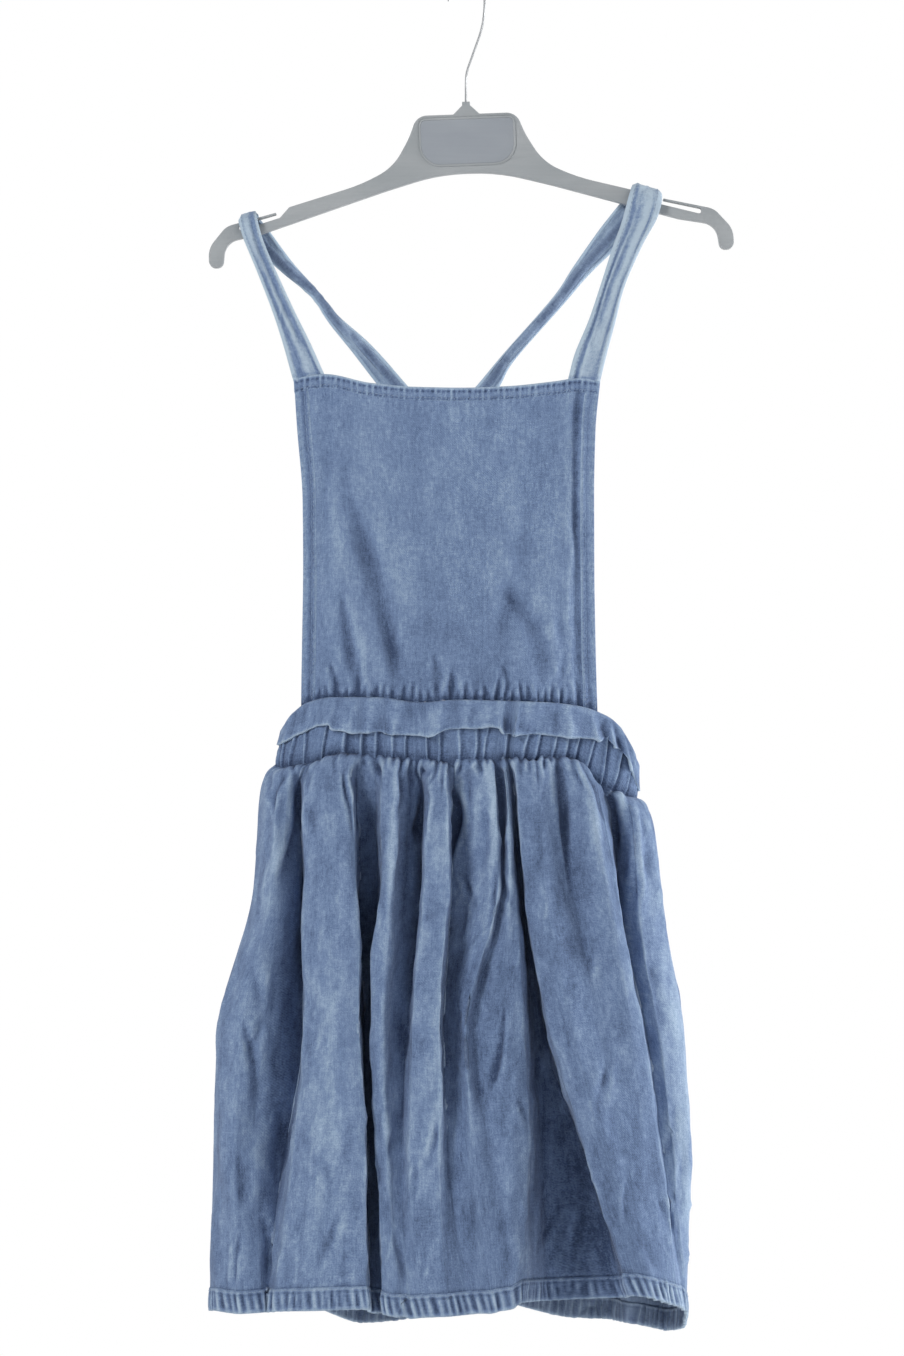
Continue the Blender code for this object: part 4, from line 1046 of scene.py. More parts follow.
@dataclass(frozen=True)
class DrawnWire:
    """Bright drawn steel wire, lightly brushed along its length."""

    name: str = "drawn_wire"
    dark: Colour = (168, 171, 174)
    light: Colour = (214, 216, 218)

    def material(self) -> Finish:
        """Builds the material on object coordinates.

        Returns:
            The material.
        """
        nodes = Nodes(self.name)
        place = nodes.add("ShaderNodeTexCoord").outputs["Object"]
        drawn = nodes.noise(place, (1500.0, 1500.0, 120.0), 2.0)
        nodes.colour(drawn, (0.25, linear(*self.dark)), (0.75, linear(*self.light)))
        nodes.join(nodes.sum([(drawn, 0.2)], 0.28), nodes.shader.inputs["Roughness"])
        nodes.set(Metallic=0.7)
        nodes.bump(drawn, 0.00004, 0.3)
        return nodes.material


@dataclass(frozen=True)
class PaleFloor:
    """Matt white studio floor."""

    name: str = "pale_floor"
    dark: float = 0.86
    light: float = 0.9

    def material(self) -> Finish:
        """Builds the material on object coordinates.

        Returns:
            The material.
        """
        nodes = Nodes(self.name)
        place = nodes.add("ShaderNodeTexCoord").outputs["Object"]
        mottle = nodes.noise(place, (3.0, 3.0, 3.0), 2.0)
        nodes.colour(mottle, (0.3, (self.dark,) * 3), (0.7, (self.light,) * 3))
        nodes.set(Roughness=0.8)
        return nodes.material


def once(finish: Denim | SewingThread | MouldedPlastic | DrawnWire) -> Finish:
    """Field that holds a finish's material, made with the finishes."""
    return field(default_factory=finish.material)


@dataclass
class Finishes:
    """Every finish of the dress and its hanger, made once."""

    face: Finish = once(Denim("denim_face"))
    hem: Finish = once(Denim("denim_hem", lift=0.04))
    strap: Finish = once(Denim("denim_strap", pale=(182, 200, 216), lift=0.3))
    edge: Finish = once(Denim("denim_worn_edge", lift=0.26))
    reverse: Finish = once(Denim("denim_reverse", (84, 101, 131), (130, 149, 178), lift=0.03))
    thread: Finish = once(SewingThread())
    plastic: Finish = once(MouldedPlastic("grey_plastic"))
    plate: Finish = once(MouldedPlastic("grey_plastic_plate", (148, 154, 163), (160, 166, 173)))
    # the rim's paler tones are a painted highlight along its rounded edge
    rim: Finish = once(MouldedPlastic("grey_plastic_rim_painted_highlight", (196, 201, 204), (208, 212, 214)))
    wire: Finish = once(DrawnWire())


# ---- stitches


@dataclass(frozen=True)
class Topstitch:
    """A row of straight stitches sunk a little into the cloth."""

    length: float = 2.3
    pitch: float = 3.0
    thick: float = 0.46
    end: float = 2.0
    rise: float = 0.12

    def trace(self, line: Array, off: Array) -> tuple[Array, Array, Array]:
        """Where the stitches of a line lie.

        Args:
            line: points (count, 3).
            off: unit vectors off the cloth at them.

        Returns:
            The middle of each stitch, the way that it runs and the way off the cloth.
        """
        reach = reach_along(line)
        stations = np.arange(self.end, reach[-1] - self.end, self.pitch)
        at = np.stack([np.interp(stations, reach, line[:, k]) for k in range(3)], axis=1)
        ahead = np.stack([np.interp(stations + 0.5, reach, line[:, k]) for k in range(3)], axis=1)
        way = ahead - at
        nearest = np.linalg.norm(at[:, None, :] - line[None, :, :], axis=2).argmin(axis=1)
        return at, way / np.maximum(np.linalg.norm(way, axis=1, keepdims=True), 1e-9), off[nearest]

    def sew(self, name: str, lines: list[tuple[Array, Array]], finish: Finish) -> Piece:
        """Lays stitches along lines.

        Args:
            name: name of the piece.
            lines: each line's points and the unit vectors off the cloth there.
            finish: the thread's material.

        Returns:
            One object with all the stitches.
        """
        bm = bmesh.new()
        for line, off in lines:
            for at, way, out in zip(*self.trace(line, off)):
                along_x = Vector(way)
                up = Vector(out).normalized()
                aside = up.cross(along_x).normalized()
                up = along_x.cross(aside)
                turn = Matrix((along_x, aside, up)).transposed().to_4x4()
                turn.translation = (Vector(at) + up * self.rise) * MM
                size = Matrix.Diagonal((self.length / 2 * MM, self.thick / 2 * MM, self.thick / 2 * MM, 1.0))
                bmesh.ops.create_icosphere(bm, subdivisions=1, radius=1.0, matrix=turn @ size)
        for face in bm.faces:
            face.smooth = True
        return place_mesh(bm, name, finish)


# ---- gathers and tucks


@dataclass(frozen=True)
class Gathers:
    """Small gathers that leave a seam as sharp wedges and die out in the cloth.

    Each pair is the range that a gather's size is drawn from; in a calm stretch they are shallow.
    """

    seed: int
    pitch: Pair = (3.2, 8.5)
    depth: Pair = (1.0, 3.2)
    reach: Pair = (7.0, 75.0)
    wide: Pair = (0.7, 1.7)
    lean: float = 0.12
    calm: tuple[Pair, ...] = ()

    def relief(self, seam: Array, below: Array) -> tuple[Array, Array]:
        """Height of the gathers, with wear on their shoulders and painted shade in their troughs.

        Args:
            seam: distance along the seam at each point.
            below: distance from the seam.

        Returns:
            Height, and wear with painted shade, at each point.
        """
        chance = np.random.default_rng(self.seed)
        height, wear_and_shading = np.zeros_like(below), np.zeros_like(below)
        place = float(seam.min())
        while place < seam.max():
            place += chance.uniform(*self.pitch)
            long = chance.uniform(0, 1) ** 2.6
            quiet = 0.35 if any(low < place < high for low, high in self.calm) else 1.0
            reach = self.reach[0] + (self.reach[1] - self.reach[0]) * long
            spread = (self.depth[1] - self.depth[0]) * chance.uniform(0, 1) * (0.4 + 0.6 * long)
            deep = quiet * (self.depth[0] + spread)
            wide = chance.uniform(*self.wide) * (0.8 + 0.6 * long)
            lean, phase = chance.uniform(-self.lean, self.lean), chance.uniform(0, 6)
            wander = np.sin(below / 19 + phase) * np.clip(below / 30, 0, 1) * 0.9
            down = np.clip(below / reach, 0, 1)
            aside = (seam - place - lean * below - wander) / (wide * (1 - 0.35 * down))
            fade = (1 - down) ** 0.9
            trough = bell(aside, 0, 1)
            shoulder = bell(np.abs(aside), 2.1, 1.1) * (1 + 0.4 * np.sign(aside) * math.sin(phase))
            height += deep * fade * (0.42 * shoulder - trough)
            # painted shade in each trough, paler on its shoulders
            wear_and_shading += fade * (0.3 * shoulder - 0.7 * trough) * min(deep / 2.2, 1)
        return height, wear_and_shading


@dataclass(frozen=True)
class Tucks:
    """Narrow pinched ridges across an elasticated casing; end_lean tips those near its far end."""

    seed: int
    pitch: Pair
    width: float
    height: float
    end_lean: float = 0.0

    def relief(self, seam: Array, up: Array) -> tuple[Array, Array]:
        """Height of the tucks, the wear on their crests and the painted shadow on their flanks.

        Args:
            seam: distance round the waist at each point.
            up: share of the casing's height.

        Returns:
            Height, and wear with painted shadow, at each point.
        """
        chance = np.random.default_rng(self.seed)
        height, wear_and_shading = np.zeros_like(seam), np.zeros_like(seam)
        place = float(seam.min()) + 2
        while place < seam.max():
            lean = chance.uniform(-3.5, 4.5) + self.end_lean * np.clip((place - seam.max() + 45) / 25, 0, 1)
            bow = chance.uniform(-1.2, 1.2)
            high = self.height * chance.uniform(0.5, 1.3)
            wide = self.width * chance.uniform(0.7, 1.4)
            aside = seam - place - lean * (up - 0.5) - bow * np.sin(up * 6)
            crest = bell(aside, 0, wide)
            flank = bell(aside, 2.2 * wide, 2.2 * wide)
            height += high * (crest - 0.5 * flank)
            # paler crests, with painted shadow on the flanks
            wear_and_shading += crest * 0.9 - flank * 0.55
            place += chance.uniform(*self.pitch)
        return height, wear_and_shading


# ---- skirt and waist


@dataclass
class SkirtPanel:
    """One gathered half of the skirt with its hem band.

    The puff_ sizes say how far the cloth is drawn in just under the waist seam, and the eager_ ones how early
    its folds deepen below it.
    """

    finishes: Finishes
    side: Side
    folds: tuple[Fold, ...]
    creases: tuple[Crease, ...]
    tone_patches: tuple[TonePatch, ...]
    gathers: Gathers
    columns: int
    rows: int
    hem_columns: int
    hem_rows: int = 11
    puff_middle: float = -8.0
    puff_aside: float = 0.085
    puff_out: float = 0.1
    puff_down: float = 0.02
    eager: float = 0.13
    eager_start: float = 0.035
    eager_end: float = 0.25
    crowding: float = 1.35
    overlap: float = 1.2
    lines: Array = field(init=False)
    ease: Array = field(init=False)
    places: Array = field(init=False)

    STEPS = 480

    def __post_init__(self) -> None:
        """Lays out the fold lines and shares the width out between them."""
        down = np.linspace(0, 1, self.STEPS + 1)
        drawn = np.exp(-down / self.puff_down)
        early = self.eager * (1 - np.exp(-down / self.eager_start)) * np.exp(-down / self.eager_end)
        rows = []
        for fold in self.folds:
            x = between(LEVELS, fold.across, down)
            deepened = between(LEVELS, fold.out, down + fold.slow * early)
            y = self.side.value * deepened * (1 - self.puff_out * drawn)
            z = fold.seam_z + (fold.hem_z - fold.seam_z) * down
            rows.append(np.stack([x - (x - self.puff_middle) * self.puff_aside * drawn, y, z], axis=1))
        mirror = np.array([1.0, -1.0, 1.0])
        self.lines = np.stack([rows[1] * mirror, *rows, rows[-2] * mirror])
        self.ease = 1 - np.array([fold.crisp for fold in self.folds])
        gaps = len(self.folds) - 1
        spans = np.array(
            [
                sum(math.hypot(b.across[k] - a.across[k], b.out[k] - a.out[k]) for k in range(len(LEVELS)))
                for a, b in zip(self.folds, self.folds[1:])
            ]
        )
        self.places = np.concatenate([[0.0], np.cumsum(0.5 / gaps + 0.5 * spans / spans.sum())])

    def base(self, u: Array, down: Array) -> Array:
        """Points of the panel without its small relief.

        Args:
            u: place across, 0 and 1 at the side seams, one for each column.
            down: place from the waist seam to the hem, (rows, columns).

        Returns:
            Points (rows, columns, 3).
        """
        i = np.clip(np.searchsorted(self.places, u, "right") - 1, 0, len(self.places) - 2)
        t = ((u - self.places[i]) / (self.places[i + 1] - self.places[i]))[None, :, None]
        place = np.clip(down, 0, 1) * self.STEPS
        low = np.minimum(place.astype(int), self.STEPS - 1)
        part = (place - low)[..., None]
        a, b, c, d = (
            self.lines[i + k][np.arange(len(u))[None, :], low] * (1 - part)
            + self.lines[i + k][np.arange(len(u))[None, :], low + 1] * part
            for k in range(4)
        )
        from_b = (c - a) * self.ease[i][None, :, None] / 2
        into_c = (d - b) * self.ease[i + 1][None, :, None] / 2
        bend = (t**3 - 2 * t**2 + t) * from_b + (t**3 - t**2) * into_c
        return (2 * t**3 - 3 * t**2 + 1) * b + (3 * t**2 - 2 * t**3) * c + bend

    def seam_line(self, u: Array) -> Array:
        """Points along the waist seam."""
        return self.base(u, np.zeros((1, len(u))))[0]

    def height(self, u: Array) -> Array:
        """Length of the panel from seam to hem."""
        hem = self.base(u, np.ones((1, len(u))))[0]
        return np.linalg.norm(hem - self.seam_line(u), axis=1)

    def cloth(self, u: Array, down: Array, width: float) -> Sheet:
        """Sheet of the panel with its gathers, creases, unevenness, wear and painted shading.

        Args:
            u: place across, one for each column.
            down: place from the waist seam to the hem, (rows, columns).
            width: width that the weave is laid out on.

        Returns:
            The sheet.
        """
        points = self.base(u, down)
        around = np.broadcast_to(reach_along(self.seam_line(u))[None, :], down.shape)
        below = down * self.height(u)[None, :]
        facing = np.clip(normals(points)[..., 1] * self.side.value * 1.6, 0, 1)
        edge = np.clip(np.minimum(u, 1 - u) * 45, 0, 1)[None, :]
        edge = edge * edge * (3 - 2 * edge)
        relief, worn_and_shaded = self.gathers.relief(around, below)
        pressed, shade = crease_relief(self.creases, points[..., 0], points[..., 2])
        relief += facing * pressed
        long_waves = rumple(points, 21, 2.3, 3.1, squash=0.38) + rumple(points, 9.5, 0.9, 7.7, squash=0.38)
        relief += np.clip(below / 60, 0, 1) * long_waves
        relief += rumple(points, 14, 0.8, 1.3) + rumple(points, 6, 0.28, 5.3)
        leaning = points @ np.array([[1.0, 0, 0.35], [0, 1.0, 0], [-0.3, 0, 0.6]])
        net = crumple(leaning, 19, 1.2, 4.2) + crumple(points, 11, 0.5, 8.9, squash=0.7)
        relief += net * np.clip(below / 45, 0, 1)
        drawn = bell(below, 0, 1.6)
        relief += 0.9 * bell(below, 5, 3.2) - 1.5 * drawn
        sheet = Sheet(points, width, float(below.max() - below.min()))
        sheet.lift(relief * edge)
        # painted shade: points lying deep between the ridges on both sides are darkened
        sheet.wear_and_shading -= 0.4 * np.clip(sunk(points[..., 1] * self.side.value) / 30, 0, 1)
        sheet.wear_and_shading += rumple(points, 7, 0.45, 6.1, squash=0.3) + rumple(points, 3.2, 0.28, 2.2)
        # painted light and shade on the front's patches; the back's patches vary the tone
        for fade in self.tone_patches:
            aside, over = (points[..., 0] - fade.across) / fade.wide, (points[..., 2] - fade.z) / fade.tall
            sheet.wear_and_shading += fade.wear_and_shading * np.exp(-(aside**2) - over**2)
        # painted shade in the gather and crease troughs and along the drawn-in seam groove, with a painted
        # highlight on the puffs just below it
        marks_and_shade = (worn_and_shaded + facing * shade + 0.08 * net) * edge
        sheet.wear_and_shading += marks_and_shade - 0.1 - 0.9 * drawn + 0.12 * bell(below, 4.5, 2.5)
        return sheet

    def build(self) -> Made:
        """Makes the panel, its hem band and the stitches.

        Returns:
            The pieces, and the flat size of each sheet.
        """
        name = self.side.name.lower()
        u = np.linspace(0, 1, self.columns)
        low = (WALLS.hem_depth - self.overlap) / self.height(u)
        v = np.linspace(1, 0, self.rows)[:, None] ** self.crowding
        down = v * (1 - low)[None, :]
        low_line = self.base(u, np.full((1, len(u)), LEVELS[3]))[0]
        wide = float(np.linalg.norm(np.diff(low_line, axis=0), axis=1).sum())
        panel = self.cloth(u, down, wide)
        panel.wear_ridges_shade_valleys(1.4, 2)
        panel.wear_ridges_shade_valleys(1.5, 6)
        skirt = make_piece("skirt_" + name, panel, WALLS.cloth, self.finishes)

        u = np.linspace(0, 1, self.hem_columns)
        share = WALLS.hem_depth / self.height(u)
        v = np.linspace(0, 1, self.hem_rows)[:, None]
        band = self.cloth(u, 1 - v * share[None, :], wide)
        band.lift(np.full(band.points.shape[:2], WALLS.hem_rise))
        self.rope(band)
        band.wear_ridges_shade_valleys(2.0, 2)
        hem = make_piece("skirt_hem_" + name, band, WALLS.hem, self.finishes, self.finishes.hem)
        sewn = self.hem_rows - 2
        line = (band.points[sewn], normals(band.points)[sewn])
        stitches = Topstitch().sew("skirt_hem_stitches_" + name, [line], self.finishes.thread)
        long = float(self.height(u).mean()) - WALLS.hem_depth
        return [skirt, hem, stitches], {skirt: (wide, long), hem: (wide, WALLS.hem_depth + WALLS.hem)}

    def rope(self, band: Sheet) -> None:
        """Gives a hem band the slanted ripples that a sewn hem takes in the wash.

        Args:
            band: the hem band, its free edge in the first row.
        """
        reach = reach_along(band.points[self.hem_rows // 2])[None, :]
        _, up = band.shares()
        phase = reach + 1.3 * np.sin(reach / 9.1) + 0.8 * np.sin(reach / 3.7 + 2) + 2.2 * up
        wave = np.sin(phase * 2 * np.pi / 5.2) + 0.4 * np.sin(phase * 2 * np.pi / 8.3 + 1)
        hold = np.sin(np.clip(up * 0.95 + 0.08, 0, 1) * np.pi) ** 0.6
        band.lift(0.55 * wave * hold)
        band.wear_and_shading += 0.75 * wave * hold + 1.2 * bell(up, 0, 0.1) + 0.7 * bell(up, 0.9, 0.06)
        band.wear_and_shading -= 0.5 * bell(up, 0.8, 0.06) + 0.08


@dataclass
class WaistHalf:
    """One half of the waist: the elasticated casing and the strip folded down over it."""

    finishes: Finishes
    panel: SkirtPanel
    rows: tuple[WaistRow, ...]
    dents: tuple[Dent, ...]
    depth: float
    tucks: Tucks
    columns: int
    middle: float = -3.5
    half: float = 108.0
    squareness: float = 2.2
    casing_shown: float = 31.0
    strip_shown: float = 19.0
    casing_rows: int = 15
    strip_rows: int = 17
    strip_off: float = 2.1
    flare: float = 2.5
    wave_seed: int = 11
    pleat_seed: int = 71
    waves: tuple[Pair, ...] = ((46, 1.0), (27, 0.9), (15, 0.3), (9, 0.12))

    def waist_z(self, x: Array, column: str) -> Array:
        """Height of the strip's fold or free edge at X."""
        places = tuple(row.across for row in self.rows)
        return between(places, tuple(getattr(row, column) for row in self.rows), x)

    def top(self, foot: Array) -> Array:
        """Points of the top ring in the same direction from the middle as points of the seam.

        Args:
            foot: points of the seam, (count, 3).

        Returns:
            A point for each.
        """
        ends = self.panel.folds[0].across[0] + self.panel.folds[-1].across[0]
        turn = np.arctan2(foot[:, 1], foot[:, 0] - ends / 2)
        aside, off = np.cos(turn), np.sin(turn)
        bend = self.squareness
        reach = (np.abs(aside / self.half) ** bend + np.abs(off / self.depth) ** bend) ** (-1 / bend)
        x = self.middle + reach * aside
        return np.stack([x, reach * off, self.waist_z(x, "top_z")], axis=1)

    def casing(self, u: Array, up: Array) -> Array:
        """Points of the casing.

        Args:
            u: place across, one for each column.
            up: 0 at the skirt's seam and 1 at the top, (rows, columns).

        Returns:
            Points (rows, columns, 3).
        """
        foot = self.panel.seam_line(u) - np.array([0, 0, 5.0])
        top = self.top(foot)
        return foot[None] + (top - foot)[None] * up[..., None]

    def around(self, u: Array) -> Array:
        """Distance round the waist at each column."""
        return reach_along(self.top(self.panel.seam_line(u)))

    def ends(self, u: Array) -> tuple[Array, Array]:
        """How far each column is from the side seams, in a short reach and a long one, from 0 to 1."""
        near = np.minimum(u, 1 - u)
        return np.clip(near * 40, 0, 1)[None, :], np.clip(near * 11, 0, 1)[None, :]

    def build(self) -> Made:
        """Makes the casing and the strip.

        Returns:
            The pieces, and the flat size of each sheet.
        """
        u = np.linspace(0, 1, self.columns)
        length = float(self.around(u)[-1])
        band, strip = self.elastic(u), self.strip(u)
        return [band, strip], {band: (length, self.casing_shown), strip: (length, self.strip_shown)}

    def elastic(self, u: Array) -> Piece:
        """Makes the casing with the tucks that its elastic draws up.

        Args:
            u: place across, one for each column.

        Returns:
            The piece.
        """
        edge, turned = self.ends(u)
        around = self.around(u)
        up = np.repeat(np.linspace(0, 1, self.casing_rows)[:, None], len(u), axis=1)
        sheet = Sheet(self.casing(u, up), float(around[-1]), self.casing_shown + 1)
        height, wear_and_shading = self.tucks.relief(np.broadcast_to(around, up.shape), up)
        ease = np.sin(np.clip(up, 0, 1) * np.pi) * 0.9
        tucked = 3.0 * bell(up, 0, 0.15) * (0.3 + 0.7 * turned) - 1.6 * (1 - turned) * np.clip(1 - up, 0, 1)
        drawn_up = height * np.clip(1 - (2 * up - 1) ** 8, 0, 1)
        sheet.lift((drawn_up + ease + rumple(sheet.points, 8, 0.35, 5.0)) * edge - tucked)
        # painted shadow on the tucks' flanks, the whole casing darker, and painted shade in the seam groove
        # at its foot
        sheet.wear_and_shading += wear_and_shading * 1.3 * edge - 0.3 - 0.8 * bell(up, 0.1, 0.09)
        return make_piece("waistband_" + self.panel.side.name.lower(), sheet, WALLS.cloth, self.finishes)

    def pinches(self, x: Array, down: Array) -> tuple[Array, Array]:
        """Depth and painted shade of the strip's dents.

        Args:
            x: X of each point.
            down: 0 at the fold and 1 at the free edge.

        Returns:
            Depth and painted shade at each point.
        """
        pinched, dark = np.zeros_like(down), np.zeros_like(down)
        for dent in self.dents:
            aside = (x - dent.across - dent.lean * (down - 0.5)) / dent.width
            pinched += dent.depth * (bell(aside, 0, 1) - 0.4 * bell(np.abs(aside), 1.9, 0.8))
            dark += min(dent.depth / 2.4, 1) * (0.6 * bell(aside, 0, 1) - 0.3 * bell(aside, -1.9, 0.8))
        return pinched * (0.25 + 0.75 * down), dark

    def strip(self, u: Array) -> Piece:
        """Makes the strip that is folded down over the casing and left free at its lower edge.

        Args:
            u: place across, one for each column.

        Returns:
            The piece.
        """
        edge, turned = self.ends(u)
        around = self.around(u)
        foot = self.panel.seam_line(u)
        top = self.top(foot)
        free = (self.waist_z(top[:, 0], "free_edge_z") - foot[:, 2]) / (top[:, 2] - foot[:, 2])
        down = np.repeat(np.linspace(1, 0, self.strip_rows)[:, None], len(u), axis=1)
        points = self.casing(u, 1 + (free[None] - 1) * down)
        sheet = Sheet(points, float(around[-1]), self.strip_shown + 1)
        chance = np.random.default_rng(self.panel.side.value + self.wave_seed)
        waves = sum(
            high * np.sin(around / length * 2 * np.pi + chance.uniform(0, 6)) for length, high in self.waves
        )[None]
        pleats = Tucks(seed=self.panel.side.value + self.pleat_seed, pitch=(8, 22), width=1.5, height=0.45)
        fold, crest = pleats.relief(np.broadcast_to(around, down.shape), 1 - down)
        roll = -1.2 * np.clip(1 - down * 6, 0, 1) ** 2
        flare = self.flare * (0.1 + 0.9 * turned)
        pinched, dark = self.pinches(points[..., 0], down)
        wavy = (waves * down**1.5 + fold * (0.35 + 0.65 * down)) * edge
        lift = self.strip_off + flare * down**2 + roll + wavy
        sheet.lift(np.maximum(lift - pinched, 0.6) + rumple(points, 9, 0.35, 2.0) * edge)
        sheet.points[..., 2] += (0.7 * pinched - 0.4 * waves) * down**2 * edge
        sheet.wear_ridges_shade_valleys(1.6, 2)
        # painted shade in the dents; the pleat crests and the waves where the edge stands out are painted
        # lighter
        crested = (0.4 * np.minimum(crest, 0.3) + 0.18 * waves * down) * edge
        sheet.wear_and_shading += crested - 0.04 - 1.4 * dark * (0.35 + 0.65 * down)
        sheet.wear_and_shading += rumple(sheet.points, 6, 0.4, 4.4, squash=0.4) + rumple(sheet.points, 14, 0.4, 8.8)
        sheet.wear_and_shading += 0.9 * bell(1 - down, 0, 0.06) + 0.2 * bell(down, 0, 0.1)
        return make_piece("waist_flap_" + self.panel.side.name.lower(), sheet, WALLS.strip, self.finishes)


@dataclass
class Bib:
    """Front panel from the waist to the chest, hemmed at its top and sides."""

    finishes: Finishes
    waist: WaistHalf
    out_top: float = 10.0
    top_hem: float = 8.0
    side_hem: float = 8.8
    width: float = 185.0
    height: float = 193.0
    panel_grid: int = 150
    gathers: Gathers = Gathers(seed=23, pitch=(3.8, 7.0), depth=(1.3, 3.2), reach=(7, 24), wide=(1.1, 2.1))
    stitch: Topstitch = Topstitch(length=2.0, pitch=2.6, thick=0.42)

    def base(self, share: Array, down: Array) -> Array:
        """Points of the bib without its small relief.

        Args:
            share: 0 at its left edge and 1 at its right, (rows, columns).
            down: 0 at its top edge and 1 at the waist.

        Returns:
            Points (rows, columns, 3).
        """
        left, right = along(BIB_LEFT, down), along(BIB_RIGHT, down)
        x = left + (right - left) * share
        top = along(BIB_TOP, share)
        foot = self.waist.waist_z(x, "top_z")
        z = top + (foot - top) * down
        reach = np.minimum(np.abs(x - self.waist.middle) / self.waist.half, 1.0)
        waist_out = self.waist.depth * (1 - reach**self.waist.squareness) ** (1 / self.waist.squareness)
        sag = 4.0 * (1 - (2 * share - 1) ** 2) * (1 - down) ** 2
        out = self.out_top + (waist_out - self.out_top) * down**1.3 + sag
        return np.stack([x, -out, z], axis=-1)

    def cloth(self, share: Array, down: Array, width: float, length: float) -> Sheet:
        """Sheet of the bib with its creases, puckers, unevenness, wear and painted shading.

        Args:
            share: 0 at its left edge and 1 at its right, (rows, columns).
            down: 0 at its top edge and 1 at the waist.
            width: width that the weave is laid out on.
            length: its length.

        Returns:
            The sheet.
        """
        points = self.base(share, down)
        sheet = Sheet(points, width, length)
        from_top, from_foot = down * self.height, (1 - down) * self.height
        across = points[..., 0]
        relief, shade = crease_relief(BIB_CREASES, across, points[..., 2])
        pulled, worn_and_shaded = self.gathers.relief(across, from_foot)
        relief += pulled
        ripple = np.sin(across * 2 * np.pi / 3.1) + 0.6 * np.sin(across * 2 * np.pi / 4.7 + 1)
        relief += 0.16 * ripple * bell(from_top, self.top_hem, 5)
        relief += rumple(points, 34, 1.3, 9.0, squash=0.6) + rumple(points, 12, 0.45, 4.0)
        relief += crumple(points, 17, 0.55, 2.6, squash=0.5)
        edge = np.clip(np.minimum(share, 1 - share) * 14, 0.15, 1) * np.clip(from_top / 10, 0.1, 1)
        sheet.lift(relief * edge)
        sheet.wear_and_shading += rumple(points, 11, 0.1, 6.1, squash=0.6) + rumple(points, 2.6, 0.14, 2.2)
        # painted shade in the creases and gather troughs and along the waist seam, and darker low in the
        # middle of the bib
        sheet.wear_and_shading += (np.minimum(worn_and_shaded * 1.5, 0.25) + shade) * edge - 0.3 * bell(from_foot, 0, 10)
        sheet.wear_and_shading -= 0.3 * bell(from_foot, 30, 34) * np.clip(1.3 - np.abs(2 * share - 1), 0, 1)
        sheet.wear_and_shading -= 0.8 * bell(from_foot, 1, 2.2)
        return sheet

    def build(self) -> Made:
        """Makes the panel, its three hems and the stitches.

        Returns:
            The pieces, and the flat size of each sheet.
        """
        side, top = self.side_hem / self.width, self.top_hem / self.height
        share = np.linspace(side * 0.6, 1 - side * 0.6, self.panel_grid)
        down = np.linspace(1, top * 0.6, self.panel_grid)
        sheet = self.cloth(*np.meshgrid(share, down), self.width - 16, self.height - 7)
        sheet.wear_ridges_shade_valleys(2.6, 2)
        sheet.wear_ridges_shade_valleys(1.8, 6)
        sheet.wear_and_shading += 0.05
        panel = make_piece("front_bib", sheet, WALLS.cloth, self.finishes)
        sizes = {panel: (sheet.width, sheet.length)}

        share, down = np.meshgrid(np.linspace(0, 1, 190), np.linspace(top, 0, 11))
        band = self.cloth(share, down, self.width, self.top_hem)
        from_edge = 1 - band.shares()[1]
        self.dress_hem(band, band.points[..., 0], from_edge, 3.2, 0.26)
        band.wear_and_shading += 0.8 * bell(from_edge, 0, 0.16)
        top_hem = make_piece("bib_top_hem", band, WALLS.hem, self.finishes, self.finishes.hem)
        sizes[top_hem] = (band.width, band.length + WALLS.hem)
        lines = [(band.points[2], normals(band.points)[2])]
        left = self.side_band("left", 0.0, lines)
        right = self.side_band("right", 1 - side, lines)
        for hem in (left, right):
            sizes[hem] = (self.side_hem + WALLS.hem, self.height - 9)
        stitches = self.stitch.sew("bib_stitches", lines, self.finishes.thread)
        return [panel, top_hem, left, right, stitches], sizes

    def side_band(self, name: str, start: float, lines: list[tuple[Array, Array]]) -> Piece:
        """Makes a side hem.

        Args:
            name: left or right.
            start: share of the bib's width where it begins.
            lines: takes the hem's two lines of stitching.

        Returns:
            The piece.
        """
        side, top = self.side_hem / self.width, self.top_hem / self.height
        share, down = np.meshgrid(np.linspace(start, start + side, 13), np.linspace(1, top * 0.8, 200))
        band = self.cloth(share, down, self.side_hem, self.height - 9)
        across, up = band.shares()
        inner = across if name == "right" else 1 - across
        self.dress_hem(band, band.points[..., 2], inner, 4.0, 0.05)
        # painted shade along the stitched groove, paler beside the fold; the outer half of the left hem only
        # is darker
        groove = bell(inner, 0.42, 0.13)
        band.wear_and_shading += 0.35 * bell(inner, 0.88, 0.1) - (0.22 if name == "left" else 0.0) * (inner < 0.6)
        band.lift(-0.6 * groove - 0.5 * np.clip(1 - (1 - up) / 0.02, 0, 1))
        band.wear_and_shading += 0.5 * bell(inner, 0, 0.09) - 0.5 * groove
        for column in (2, 10):
            lines.append((band.points[:, column], normals(band.points)[:, column]))
        return make_piece("bib_side_hem_" + name, band, WALLS.hem, self.finishes, self.finishes.hem)

    def dress_hem(self, band: Sheet, run: Array, edge: Array, pitch: float, height: float) -> None:
        """Ripples a hem between its seam and its rolled free edge, with painted shade along its sunk stitch
        lines.

        Args:
            band: the hem.
            run: distance along it at each point.
            edge: 0 at its free edge and 1 where it is sewn.
            pitch: distance between ripples.
            height: their height.
        """
        wave = np.sin(run * 2 * np.pi / pitch) + 0.6 * np.sin(run * 2 * np.pi / (pitch * 1.47) + 1.2)
        hold = np.sin(np.clip(edge * 0.86 + 0.1, 0, 1) * np.pi)
        rolled = 0.7 * np.clip(1 - edge / 0.14, 0, 1) ** 2
        sewn = bell(edge, 0.3, 0.1) + bell(edge, 0.9, 0.1)
        band.lift(WALLS.hem_rise + height * wave * (hold + 0.9 * sewn) - 1.4 * height * sewn - rolled)
        marks_and_shade = height / 0.26
